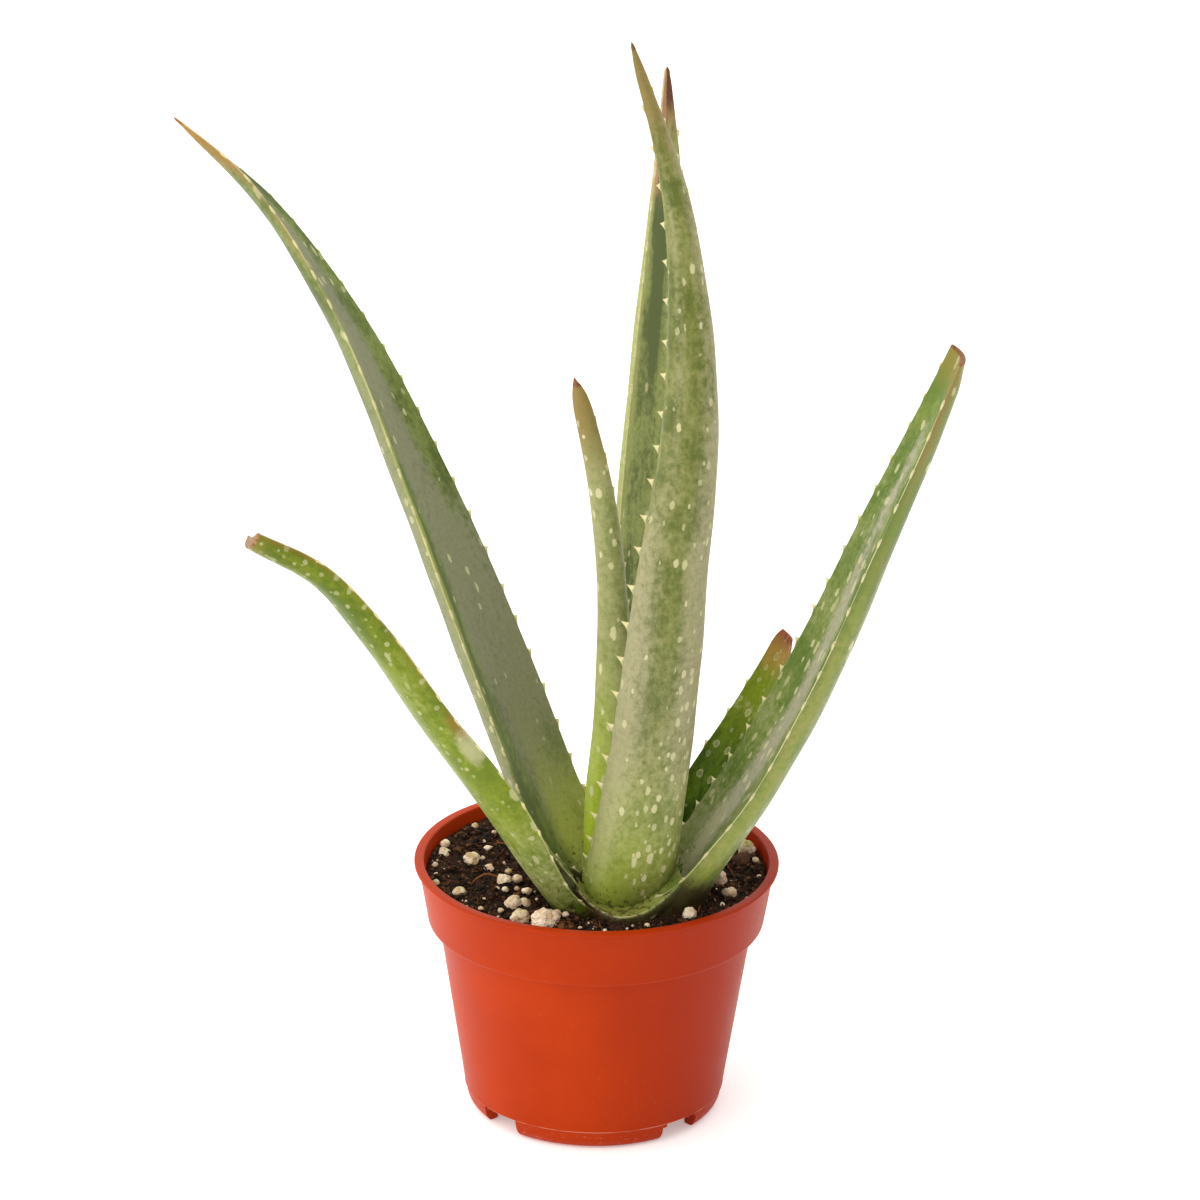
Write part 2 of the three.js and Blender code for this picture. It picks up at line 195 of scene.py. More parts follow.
class Spine:
    """A smooth line through rows of x, y, z and width, asked at a share t of its rows."""

    def __init__(self, rows):
        rows = np.array(rows, float)
        self.points, self.widths = rows[:, :3], rows[:, 3]
        self.shares = np.linspace(0, 1, 201)
        chords = np.linalg.norm(np.diff(self.at(self.shares), axis=0), axis=1)
        self.reach = np.concatenate([[0], np.cumsum(chords)])
        self.length = self.reach[-1]

    def split(self, t):
        """The span of rows that each share t lies in, and how far along that span it is."""
        last = len(self.points) - 1
        span = np.minimum((np.clip(t, 0, 1) * last).astype(int), last - 1)
        return span, np.clip(t, 0, 1) * last - span

    def at(self, t):
        """Points of the line."""
        p = self.points
        span, w = self.split(t)
        longer = np.vstack([2 * p[0] - p[1], p, 2 * p[-1] - p[-2]])
        a, b, c, d = (longer[span + k] for k in range(4))
        ab, bc, cd = (np.linalg.norm(q - r, axis=1)[:, None] ** 0.5 for q, r in ((b, a), (c, b), (d, c)))
        start = ((b - a) / ab - (c - a) / (ab + bc) + (c - b) / bc) * bc
        end = ((c - b) / bc - (d - b) / (bc + cd) + (d - c) / cd) * bc
        w = w[:, None]
        return b + start * w + (3 * (c - b) - 2 * start - end) * w**2 + (2 * (b - c) + start + end) * w**3

    def width(self, t):
        """The width, eased from row to row in the same way."""
        span, w = self.split(t)
        longer = np.concatenate([self.widths[:1], self.widths, self.widths[-1:]])
        a, b, c, d = (longer[span + k] for k in range(4))
        start, end = (c - a) / 2, (d - b) / 2
        return b + start * w + (3 * (c - b) - 2 * start - end) * w**2 + (2 * (b - c) + start + end) * w**3


# %% [markdown]
# ## The seven leaves
# The rows are read off the real plant: a place down the middle of the hollow face and the width
# there. The face says which way the hollow looks, in degrees from +X, at the base, on the blade and
# at the tip, since a leaf turns slowly as it grows. The fold is how far the blade is rolled up
# across, in degrees, tight round the stem at the base and open on the blade. The bulk is the depth
# over the width, since the blade stores water and is thick, and the tooth is its teeth's height.
#
# The other values touch only the fine skin. Some tips are drawn out to a point, others were cut
# across and dried: cut is the share of the width that such an end loses, slant its slope, and trim
# the mm by which it stops short of the solid. A swell thickens the last reach mm by that share, a
# spike draws the teeth out by that factor, and point and foot slim the two ends of a leaf.

# %% Stations of the leaves
LEAVES = {
    "leaf_front_tall": dict(
        spine=[(7, -17.5, 62, 13), (8.3, -22, 71, 20), (10.5, -27, 84, 22.5), (15.5, -34, 122, 21),
               (20, -36, 170, 18.5), (25, -28, 224, 13.5), (20, -12, 278, 6.5), (7, 4, 318, 1.2)],
        face=(106, 106, 106), fold=(160, 108), bulk=0.32, tooth=2.5, spike=1.3, point=0.5,
        foot=0.28, seed=14655),
    "leaf_right_long": dict(
        spine=[(20, -13, 62, 30), (28, -18, 82, 26), (45, -23, 112, 23), (62, -25, 148, 22),
               (76, -27, 184, 18), (88, -29, 214, 14.5), (99, -30, 243, 10)],
        face=(175, 192, 192), fold=(205, 72), bulk=0.28, tooth=1.3, spike=1.4, slant=-0.12,
        cut=0.05, trim=2.2, swell=-0.5, reach=12, seed=20517),
    "leaf_left_low": dict(
        spine=[(-2, -20, 63, 18), (-13, -26, 82, 20), (-27, -33, 108, 22.5), (-45, -40, 135.5, 19),
               (-61, -48, 162.5, 15.5), (-77, -56, 184.5, 12), (-95, -64, 198, 8)],
        face=(12, 24, 36), fold=(150, 56), bulk=0.29, tooth=1.2, slant=-0.25, cut=0, swell=0.4,
        seed=12701),
    "leaf_centre_short": dict(
        spine=[(2, -14, 72, 9), (1.5, -16, 90, 10), (3.2, -18, 123, 9.6), (3.3, -19, 158, 7.6),
               (-0.3, -18, 194, 6), (-7.6, -15, 226.5, 4)],
        face=(72, 64, 64), fold=(150, 118), bulk=0.34, tooth=1, point=0.45, seed=16609),
    "leaf_left_tall": dict(
        spine=[(0, -8, 65, 22), (-10, -3, 82, 25), (-29, 7, 128, 25), (-50, 19, 178, 21.5),
               (-73, 31, 226, 16), (-98, 44, 260, 9.5), (-122, 57, 278, 2.4)],
        face=(-33, -34, -8), fold=(150, 65), bulk=0.24, tooth=1.1, point=0.3, swell=0.6, reach=45,
        seed=13678),
    "leaf_right_short": dict(
        spine=[(12, -8, 65, 20), (21, -2, 78, 18), (32, 6, 96, 15.5), (45, 15, 117, 12),
               (54, 22, 136, 7)],
        face=(216, 218, 218), fold=(150, 60), bulk=0.28, tooth=1.2, slant=-0.35, cut=0.35,
        seed=15632),
    "leaf_back_tall": dict(
        spine=[(7, -5, 68, 24), (9, 4, 88, 22.5), (11.8, 18, 128, 20.5), (13.7, 28, 178, 19),
               (15.7, 34, 228, 14.6), (17, 38, 276, 6.5), (17, 40, 299.5, 1.5)],
        face=(-82, -70, -62), fold=(150, 88), bulk=0.28, tooth=1.3, point=0.15, seed=18563),
}
print("leaves:", sorted(LEAVES))

# %% Which way a leaf points, opens and spreads
TWIST_END, SHEATH_END = 0.35, 0.14
TIP_LENGTH, TIP_NARROWING = 5, 0.73


def smooth_rise(x, end):
    """An eased step from 0 at 0 to 1 at the end."""
    k = np.clip(x / end, 0, 1)
    return k * k * (3 - 2 * k)


def blend(low, high, share):
    return low + (high - low) * share


def directions_at(leaf, u):
    """Where the leaf is at shares u of its length, and which way it points, opens and spreads."""
    spine = leaf["line"]
    t = np.interp(u * spine.length, spine.reach, spine.shares)
    along = spine.at(np.clip(t + 1e-4, 0, 1)) - spine.at(np.clip(t - 1e-4, 0, 1))
    along /= np.linalg.norm(along, axis=1)[:, None]
    base, blade, tip = leaf["face"]
    face = np.radians(blend(base, blade, smooth_rise(u, TWIST_END))
                      + (tip - blade) * smooth_rise(u - TWIST_END, 1 - TWIST_END))
    hollow = np.stack([np.cos(face), np.sin(face), 0 * face], axis=1)
    hollow -= along * np.sum(hollow * along, axis=1)[:, None]
    hollow /= np.linalg.norm(hollow, axis=1)[:, None]
    to_tip = np.clip(1 - (1 - u) * spine.length / TIP_LENGTH, 0, 1)
    rounding = np.sqrt(1 - (1 - (1 - leaf.get("cut", TIP_NARROWING)) ** 2) * to_tip**2)
    width = np.maximum(1, spine.width(t) * rounding)
    half_fold = np.radians(blend(*leaf["fold"], smooth_rise(u, SHEATH_END))) / 2
    return dict(centre=spine.at(t), along=along, hollow=hollow, across=np.cross(along, hollow),
                width=width, half_fold=half_fold, roll=width / (2 * np.sin(half_fold)))


for name, leaf in LEAVES.items():
    leaf["line"] = Spine(leaf["spine"])
    print(name, "length in mm:", round(leaf["line"].length, 1))

# %% [markdown]
# ## Teeth along the margins
# Both margins carry soft pale teeth, close together at the base and wider apart further on, hooked
# towards the tip. They could be separate cones, but a real tooth grows out of the margin without a
# joint. So the margin itself is pushed out where a tooth stands, and the leaf gets extra cross
# sections there. The spacing comes from a seeded draw, the same one that set the solid's teeth.

# %% Places of the teeth
# In mm: half a tooth's length, how far its point hooks forward, its spacing from base to blade, and
# the stretch without teeth at both ends. The rise is a share of the leaf, the others are factors.
TOOTH_HALF, TOOTH_HOOK = 1.9, 1.2
TOOTH_PITCH, TOOTH_CLEAR, FIRST_SPREAD = (4.5, 10.5), 9, 3
PITCH_RISE = 0.16
PITCH_SPREAD, BASE_TOOTH, TIP_TOOTH = (0.88, 1.12), 0.6, 0.5


def seeded_draw(seed):
    """Even numbers from 0 to 1 from a seed, by the usual linear congruence."""
    state = seed
    while True:
        state = (state * 1664525 + 1013904223) % 4294967296
        yield state / 4294967296


def teeth_of(leaf):
    """Place along the leaf and height of each tooth, for the two margins."""
    draw, length, teeth = seeded_draw(leaf["seed"]), leaf["line"].length, {}
    for side in (-1, 1):
        teeth[side] = []
        along = TOOTH_CLEAR + FIRST_SPREAD * next(draw)
        while along < length - TOOTH_CLEAR:
            u = along / length
            rise = smooth_rise(u, PITCH_RISE)
            height = leaf["tooth"] * blend(BASE_TOOTH, 1, rise)
            teeth[side].append((along, height * blend(1, TIP_TOOTH, np.clip(2 * u - 0.8, 0, 1))))
            along += blend(*TOOTH_PITCH, rise) * blend(*PITCH_SPREAD, next(draw))
    return teeth


for name, leaf in LEAVES.items():
    leaf["teeth"] = teeth_of(leaf)
    print(name, "teeth:", {side: len(row) for side, row in leaf["teeth"].items()})

# %% [markdown]
# ## The skin of a leaf
# A cross section is a bent lens: the hollow face is an arc, the under face bulges out behind it, and
# the two meet in rounded margins less than a millimetre thick. A lofted curve would do for a plain
# leaf, but not for teeth, so these four strips are worked out point by point at every station. Slow
# waves keep the faces from looking machined. Each point keeps where it is on the leaf, in mm across
# and along, so that a finish can follow the growth.

# %% Stations along a leaf
STATION_STEP, LEAST_STEP = 1.4, 0.06
TIP_STATIONS = np.array([5, 4, 3, 2.2, 1.5, 0.9, 0.4, 0])
TOOTH_STATIONS = np.array([-1.9, -1.4, -1, -0.65, -0.35, -0.15, 0, 0.15, 0.35, 0.65, 1, 1.4, 1.9])


def stations_of(leaf):
    """Where the leaf has a cross section, in mm from its base, close together at teeth and tip."""
    length = leaf["line"].length
    places = [np.arange(0, length - TIP_LENGTH, STATION_STEP), length - TIP_STATIONS]
    for row in leaf["teeth"].values():
        places += [at + TOOTH_STATIONS for at, _ in row]
    places = np.unique(np.round(np.concatenate(places), 2))
    places = places[places < length - leaf.get("trim", -1)]
    return places[np.concatenate([[True], np.diff(places) > LEAST_STEP])]


for name, leaf in LEAVES.items():
    print(name, "stations:", len(stations_of(leaf)))

# %% The two faces
MARGIN_DEPTH = 0.8
FACE_SPANS = 22
LEAST_BULK = 1.2 * MARGIN_DEPTH
LENS_FLATNESS, LENS_SHOULDER = 2.4, 0.75
SWELL_REACH = 35
WAVE_HEIGHT, WAVE_LENGTH, WAVES_ACROSS = 0.45, 22, 1.3
FULL_WAVE_WIDTH = 14


def rolled(at, reach, angle):
    """Points at a reach from the line that the blade is rolled round, at an angle across it."""
    inward = (at["roll"][:, None] - reach * np.cos(angle))[:, :, None] * at["hollow"][:, None]
    sideways = (reach * np.sin(angle))[:, :, None] * at["across"][:, None]
    return at["centre"][:, None] + inward + sideways


def strip_marks(at, s, under, edge=0.0, tooth=0.0):
    """What each point of a strip keeps: its mm across, its side from -1 to 1, and what it is part of."""
    across = (at["roll"] * at["half_fold"])[:, None] * s
    kept = dict(across=across, side=s, under=under, edge=edge, tooth=tooth)
    return {key: np.broadcast_to(value, across.shape) for key, value in kept.items()}


def waves(leaf, s, along):
    """Slow unevenness of a grown surface, in mm."""
    seed = leaf["seed"] % 97
    return WAVE_HEIGHT * np.array([[noise.noise(Vector((WAVES_ACROSS * side, mm / WAVE_LENGTH, seed)))
                                    for side in s] for mm in along])


def two_faces(leaf, at, along):
    """The hollow face, and the under face that bulges behind it and runs the other way."""
    s = np.linspace(-1, 1, FACE_SPANS + 1)
    width, roll, half = (at[key][:, None] for key in ("width", "roll", "half_fold"))
    reach = leaf.get("reach", SWELL_REACH)
    swell = 1 + leaf.get("swell", 0) * smooth_rise(along - (leaf["line"].length - reach), reach)
    bulk = np.maximum(LEAST_BULK, width * leaf["bulk"] * swell[:, None])
    lens = (1 - np.abs(s) ** LENS_FLATNESS) ** LENS_SHOULDER
    wave = waves(leaf, s, along) * np.clip(width / FULL_WAVE_WIDTH, 0, 1)
    behind = MARGIN_DEPTH + (bulk - MARGIN_DEPTH) * lens + wave
    hollow = rolled(at, roll + wave, s * half)
    under = rolled(at, roll + behind[:, ::-1], s[::-1] * half)
    return (hollow, strip_marks(at, s, 0)), (under, strip_marks(at, s[::-1], 1))


# %% A margin with its teeth
MARGIN_TURNS = np.radians([45, 90, 135])
MARGIN_ROUND, MARGIN_SET_BACK = 0.3, 0.05
SHOULDER = 0.4


def toothed_margin(leaf, at, along, side):
    """The rounded margin of one side, pushed out and towards the tip where a tooth stands."""
    push, near = np.zeros(len(along)), np.zeros(len(along))
    for middle, height in leaf["teeth"][side]:
        point = np.clip(1 - np.abs(along - middle) / TOOTH_HALF, 0, 1)
        push = np.maximum(push, height * leaf.get("spike", 1) * point**2)
        near = np.maximum(near, point)
    turns = MARGIN_TURNS if side == 1 else MARGIN_TURNS[::-1]
    share = np.where(np.isclose(turns, np.pi / 2), 1.0, SHOULDER)
    angle = side * at["half_fold"][:, None]
    reach = at["roll"][:, None] + MARGIN_DEPTH / 2 * (1 - np.cos(turns))
    outward = side * (np.cos(angle)[:, :, None] * at["across"][:, None]
                      + np.sin(angle)[:, :, None] * at["hollow"][:, None])
    out = MARGIN_ROUND * np.sin(turns) + push[:, None] * share - MARGIN_SET_BACK
    hook = TOOTH_HOOK * near[:, None] ** 1.3 * share
    points = rolled(at, reach, angle + 0 * turns)
    points = points + outward * out[:, :, None] + at["along"][:, None] * hook[:, :, None]
    return points, strip_marks(at, side + 0 * turns, 0.5, share, near[:, None] * share)


# %% [markdown]
# ## From strips to a closed leaf
# The four strips lie side by side as rings round the leaf. A cut end is sheared to its slope and a
# drawn-out one slimmed while the points are still in rings, because there one line of NumPy reaches
# them all. Then a few shrinking rings ease the tip, and the tube is closed with strips of faces. A
# fan from a middle point would be simpler to write, but its long thin faces shade badly.

# %% Join the strips and close the tube
POINT_REACH, FOOT_REACH, CUT_REACH = 9, 20, 7
CUT_EDGE = ((0.99, 0.15), (0.96, 0.3), (0.88, 0.4))
POINT_END = ((0.85, 0.35), (0.6, 0.75), (0.3, 1.15), (0.08, 1.4))


def grow_skin(leaf):
    """Rings of points from base to tip, the marks of their points, and the leaf's directions."""
    length, along = leaf["line"].length, stations_of(leaf)
    at = directions_at(leaf, along / length)
    hollow, under = two_faces(leaf, at, along)
    strips = [hollow, toothed_margin(leaf, at, along, 1), under, toothed_margin(leaf, at, along, -1)]
    rings = np.concatenate([points for points, _ in strips], axis=1)
    marks = {key: np.concatenate([kept[key] for _, kept in strips], axis=1) for key in strips[0][1]}
    slope = leaf.get("slant", 0) * smooth_rise(along - (length - CUT_REACH), CUT_REACH)
    rings += at["along"][:, None] * (slope[:, None] * marks["across"])[:, :, None]
    slim = 1 - leaf.get("point", 0) * np.clip(1 - (length - along) / POINT_REACH, 0, 1) ** 1.5
    slim -= leaf.get("foot", 0) * (1 - smooth_rise(along, FOOT_REACH))
    middle = rings.mean(axis=1, keepdims=True)
    rings = middle + (rings - middle) * slim[:, None, None]
    marks["along"] = np.repeat(along[:, None], rings.shape[1], axis=1)
    return rings, marks, at


def close_tube(rings):
    """Faces of a tube of rings, its two ends closed by strips from face to face."""
    count, ring = rings.shape[:2]
    index = np.arange(count * ring).reshape(count, ring)
    after = np.roll(index, -1, axis=1)
    sides = np.stack([index[:-1], after[:-1], after[1:], index[1:]], axis=2).reshape(-1, 4).tolist()
    spans, turns = FACE_SPANS, len(MARGIN_TURNS)
    under = spans + 1 + turns
    for row, flip in ((index[0], True), (index[-1], False)):
        strips = [[row[j], row[j + 1], row[under + spans - j - 1], row[under + spans - j]]
                  for j in range(spans)]
        strips.append([row[spans], *row[spans + 1:under], row[under]])
        strips.append([row[0], row[under + spans], *row[under + spans + 1:]])
        sides += [[int(k) for k in (strip[::-1] if flip else strip)] for strip in strips]
    return sides


def round_off(rings, marks, at, steps):
    """Shrinking rings past the last one, so that the tip ends eased; steps are size and mm forward."""
    middle = rings[-1].mean(axis=0)
    more = [middle + (rings[-1] - middle) * size + at["along"][-1] * forward for size, forward in steps]
    marks = {key: np.concatenate([rows] + [rows[-1:]] * len(more)) for key, rows in marks.items()}
    return np.concatenate([rings, np.array(more)]), marks


# %% [markdown]
# ## Where each leaf is waxy, spotted, lime or dry, and where light and shade are painted
# Young aloe leaves are grey with wax where nothing has rubbed them, greener where it is gone, pale
# lime in the dark of the heart, rusty where they were scraped or grow old, and mealy where water has
# dried on them. Some of these marks also carry painted light and shade: the lime at some feet and
# some meal are painted brighter where neighbouring leaves shade them, a pale strip of wax paints a
# sheen down the long right leaf's hollow, and the dirt at the feet paints shade by the peat. Pale oval
# spots lie in rows, dense in some places and absent in others. These are
# slow changes over a leaf, so they are worked out in Python for every point and kept as marks, while
# the finish adds the fine grain. Painting them by hand would do as well, but a formula stays small.
#
# In each habit below u runs from base to tip, s from margin to margin, and under is 0 on the hollow
# face and 1 on the outer one. A mark of 0 is none and 1 is all; a wax below 0 is rubbed down to deep
# green. Dry and end are the lengths in mm of the olive part and of the dead tip.

# %% Two shapes for a habit


def hill(x, middle, spread):
    """1 at the middle, falling away to both sides."""
    return np.exp(-(((x - middle) / spread) ** 2))


def past(x, low, high):
    """A smooth step from 0 at low to 1 at high; low may be the greater."""
    return smooth_rise((x - low) * np.sign(high - low), abs(high - low))


# %% The front leaf and the long right one


def front_tall(u, s, under):
    """Grey with wax, rubbed green down the middle, thick with spots just above the foot."""
    return dict(
        spots=1.2 * hill(u, 0.13, 0.11) * past(s, 0.35, 0.0)
        + 0.8 * hill(u, 0.3, 0.12) * hill(s, -0.32, 0.28)
        + 0.5 * hill(u, 0.56, 0.2) * hill(s, -0.3, 0.3) + 0.09 * (u < 0.8),
        dashes=0.85 * past(u, 0.62, 0.75) * hill(s, -0.1, 0.3)
        + 0.5 * hill(u, 0.12, 0.08) * past(s, 0.2, -0.1),
        wax=1 - 0.8 * hill(s, 0.1, 0.34) * past(u, 0.16, 0.42)
        - 0.3 * past(u, 0.34, 0.5) * past(s, 0.15, 0.45)
        - 0.45 * past(u, 0.45, 0.72) * hill(s, -0.4, 0.3)
        - 0.55 * hill(u, 0.1, 0.12) * past(s, 0.65, 0.3) - 0.6 * hill(u, 0, 0.09)
        - 0.3 * hill(u, 0.22, 0.12) * hill(s, 0.1, 0.5)
        - 0.5 * past(u, 0.42, 0.6) * past(s, 0.4, 0.8),
        # The lime at the foot is partly painted light, brighter where neighbouring leaves shade it.
        lime=1.0 * hill(u, 0.02, 0.07) * past(s, -0.1, 0.4)
        + 0.22 * hill(u, 0.13, 0.09) * past(s, 0.9, 0.2)
        + 0.15 * hill(u, 0.14, 0.08) * past(s, 0.2, 0.6),
        rust=0.5 * hill(u, 0.02, 0.03) + 0.3 * past(u, 0.78, 0.95),
        meal=0.35 * past(s, 0.5, 0.9) * hill(u, 0.28, 0.12),
        # The dirt at the foot is soil and painted shade.
        dirt=0.8 * hill(u, 0, 0.035), dry=56, end=2.5)


def right_long(u, s, under):
    """A strip of wax and a painted sheen down the hollow, dried water and painted light low in it, an
    earthy foot with painted shade, rust by the cut end.
    """
    hollow = 1 - under
    # The pale strip down the hollow is wax and a painted sheen along the channel.
    wax_and_sheen_strip = hill(s, -0.22 + 0.2 * hill(u, 0.45, 0.15), 0.23)
    fading = (0.95 - 0.35 * past(u, 0.4, 0.7)) * past(u, 1, 0.8)
    return dict(
        spots=hollow * (0.12 + 0.5 * hill(u, 0.4, 0.2) * hill(s, -0.5, 0.4)) + 0.08 * under,
        dashes=hollow * (0.25 + 0.7 * hill(u, 0.38, 0.25) * hill(s, -0.4, 0.4)) + 0.15 * under,
        wax=under * (0.1 + 0.5 * past(s, 0.7, 0.2) - 0.8 * past(u, 0.55, 0.75))
        + hollow * (0.2 + 0.2 * past(u, 0.4, 0.1) + fading * wax_and_sheen_strip
                    - past(s, 0.4, 0.75) - 0.7 * past(u, 0.84, 0.95)),
        lime=0.3 * hill(s, 0.88, 0.1) * under + 0.12 * past(u, 0.78, 1)
        + 0.5 * hill(u, 0, 0.1) * hollow,
        rust=under * (0.42 + 0.5 * past(u, 0.7, 0.95) * past(s, 0.7, 0.95))
        + 0.9 * hollow * past(u, 0.84, 0.95) * past(s, 0.45, 0.8),
        # The meal low in the hollow, round u 0.14, is painted light that lifts the shade cast by the front
        # leaf.
        meal=hollow * (0.3 * hill(u, 0.42, 0.2) * hill(s, -0.4, 0.4)
                       + 0.8 * hill(u, 0.14, 0.1) * hill(s, -0.25, 0.3)),
        # The dirt on the under face by the peat is soil and painted shade.
        dirt=0.95 * under * past(u, 0.18, 0.07) + 0.4 * hill(u, 0, 0.07), dry=18, end=0.8)


# %% The two left leaves


def left_low(u, s, under):
    """Fresh green with little wax, a scar with meal round it halfway up the near margin."""
    return dict(
        spots=0.22 + 0.5 * past(u, 0.6, 0.9),
        dashes=0.12 + 0.3 * hill(u, 0.2, 0.15),
        wax=0.05 + 0.15 * past(s, -0.45, -0.1) + 0.5 * hill(u, 0.16, 0.12)
        + 0.15 * hill(u, 0.55, 0.12) - 0.35 * past(u, 0.55, 0.75) * past(s, -0.8, -0.5),
        lime=0.2 * hill(u, 0.45, 0.14),
        rust=0.9 * hill(u, 0.5, 0.035) * hill(s, -1, 0.16)
        + 0.5 * hill(s, -1, 0.08) * past(u, 0.4, 0.6) + 0.3 * past(u, 0.8, 0.95),
        meal=0.95 * hill(u, 0.45, 0.05) * hill(s, -0.92, 0.24)
        + 0.4 * hill(u, 0.6, 0.1) * hill(s, -0.6, 0.35) + 0.4 * hill(u, 0.18, 0.12)
        + 0.12 * past(u, 0.7, 0.9),
        # The dirt at the foot is soil and painted shade.
        dirt=past(u, 0.13, 0.04), dry=8, end=0.9)


def left_tall(u, s, under):
    """Grey in the hollow, deep green along both sides of it, lime at the base painted bright as painted
    light.
    """
    hollow = 1 - under
    rubbed = (1.7 * hill(s, -0.75, 0.3) * hill(u, 0.4, 0.2)
              + 0.9 * past(s, 0.2, 0.7) * past(u, 0.36, 0.58)
              + 0.6 * past(s, -0.1, -0.6) * past(u, 0.3, 0.15) + 0.4 * past(u, 0.76, 0.9))
    return dict(
        spots=hollow * (0.07 + 0.3 * hill(u, 0.78, 0.05)) * (u < 0.9)
        + 0.3 * under * hill(u, 0.2, 0.25),
        dashes=hollow * (0.1 + 0.5 * hill(u, 0.78, 0.06) * hill(s, 0.4, 0.4))
        + 0.35 * under * hill(s, -0.95, 0.12) * past(u, 0.3, 0.6) + 0.1 * under,
        wax=hollow * (0.15 + 0.8 * past(u, 0, 0.27) - rubbed)
        + under * (0.9 - 0.6 * past(u, 0.45, 0.8)),
        # The lime at the base is partly painted light, brighter to stand in for light in the shaded heart.
        lime=0.95 * hill(u, 0.02, 0.12) * past(s, -0.3, 0.2)
        + 0.55 * hollow * hill(s, -0.97, 0.14) * hill(u, 0.5, 0.22)
        + 0.12 * under * hill(s, -0.97, 0.1),
        rust=0.55 * past(u, 0.55, 0.9) * hill(s, -1, 0.25) + 0.5 * past(u, 0.86, 0.97),
        # The dirt at the foot is soil and painted shade.
        dirt=0.5 * hill(u, 0, 0.04), dry=40, end=5)


# %% The short leaves and the back one


def centre_short(u, s, under):
    """Lime from the heart of the plant to grey-green, with many dashes higher up."""
    return dict(
        spots=0.1 + 0.12 * hill(u, 0.8, 0.3),
        dashes=0.25 + 0.3 * past(u, 0.4, 0.7),
        wax=0.5 + 0.4 * past(s, 0.1, 0.7) - 0.5 * hill(u, 0.02, 0.2),
        lime=hill(u, 0.04, 0.17) + 0.25 * hill(u, 0.3, 0.14),
        rust=0.35 * past(u, 0.78, 0.98), meal=0.2 * past(u, 0.7, 0.9), dry=44, end=3)


def right_short(u, s, under):
    """Dark green with big ringed spots, lime and then rusty towards its cut end."""
    return dict(
        spots=0.25 + 0.6 * past(u, 0.4, 0.7), dashes=0.1,
        wax=0.05 + 0.3 * under,
        lime=0.45 * past(u, 0.5, 0.8),
        rust=0.85 * past(u, 0.78, 0.95), meal=0.42 * hill(u, 0.72, 0.07), dry=8, end=3.2)


def back_tall(u, s, under):
    """Waxy and dashed by one margin, rubbed beside it, and dead on one side of the tip."""
    return dict(
        spots=0.04 + 0.12 * under * hill(u, 0.25, 0.25),
        dashes=0.03 + 0.6 * hill(s, -0.9, 0.12),
        wax=0.25 + 0.7 * hill(s, -0.92, 0.18) + 0.3 * hill(s, 0.3, 0.3)
        - 1.3 * hill(s, -0.15, 0.3) * past(u, 0.55, 0.75) * (1 - under),
        lime=0.4 * hill(u, 0, 0.12),
        rust=past(u, 0.8, 0.93) * past(s, 0.1, -0.3) + 0.2 * past(u, 0.7, 0.9),
        dry=34, end=24, end_where=past(s, -0.35, 0.0))


# %% Keep the marks at the points
HABITS = {"leaf_front_tall": front_tall, "leaf_right_long": right_long, "leaf_left_low": left_low,
          "leaf_left_tall": left_tall, "leaf_centre_short": centre_short,
          "leaf_right_short": right_short, "leaf_back_tall": back_tall}
HABIT_MARKS = ("spots", "dashes", "wax", "lime", "rust", "meal", "dirt")
UNDER_FACE = 1000


def leaf_marks(leaf, habit, marks):
    """Every mark that the finish reads, and where each point is on the leaf, in mm."""
    tip = leaf["line"].length - leaf.get("trim", 0)
    u = np.clip(marks["along"] / leaf["line"].length, 0, 1)
    under = marks["under"]
    grown = habit(u, marks["side"], under)
    dry, end = (smooth_rise(marks["along"] - (tip - grown[key]), grown[key]) for key in ("dry", "end"))
    kept = dict(edge=marks["edge"], tooth=marks["tooth"], dry=dry, end=end * grown.get("end_where", 1))
    for key in HABIT_MARKS:
        kept[key] = np.clip(grown.get(key, 0) + 0 * u, -1, 1)
    along = marks["along"] + UNDER_FACE * (under > 0.4)
    place = np.stack([marks["across"], along, 0 * u + leaf["seed"] % 89], axis=2)
    return {"leaf_place": place.reshape(-1, 3)} | {key: values.ravel() for key, values in kept.items()}


print("habits for:", sorted(HABITS))

# %% [markdown]
# ## The finish of the leaves
# A living leaf is a little translucent, so light enters it and comes out softened, which the
# shader's subsurface socket does. Over the green lies a grey bloom of wax with frayed edges where it
# is rubbed off, then age, then soil with painted shade at the foot, then pale spots, then the cream
# teeth and the dead tip. The finish is built in that order, one thin layer of colour at a time, so
# that each can be changed alone. Its noise is laid out in leaf_place, mm across and along the leaf,
# and so follows the growth.

# %% Noise that follows the growth


def growth_noise(f):
    """The patterns that the layers share: slow drift, frayed patches, fine veins and grain."""
    f.place = f.node("Attribute", "Vector", {"attribute_name": "leaf_place"})
    f.body = f.node("TexCoord", "Object")
    f.drift = f.cloud(f.stretch(f.place, 0.12, 0.05, 1), 1.0, 3.0, 0.55)
    f.frayed = f.cloud(f.stretch(f.place, 0.75, 0.4, 1), 1.0, 7.0, 0.72)
    f.veins = f.cloud(f.stretch(f.place, 1.1, 0.03, 1), 1.0, 2.0)
    f.grain = f.cloud(f.body, 2600.0, 2.0, 0.7)
    f.ragged = f.plus(f.sway(f.frayed, 1.05), f.sway(f.drift, 0.9), f.sway(f.veins, 0.15))


# %% Green under a bloom of wax


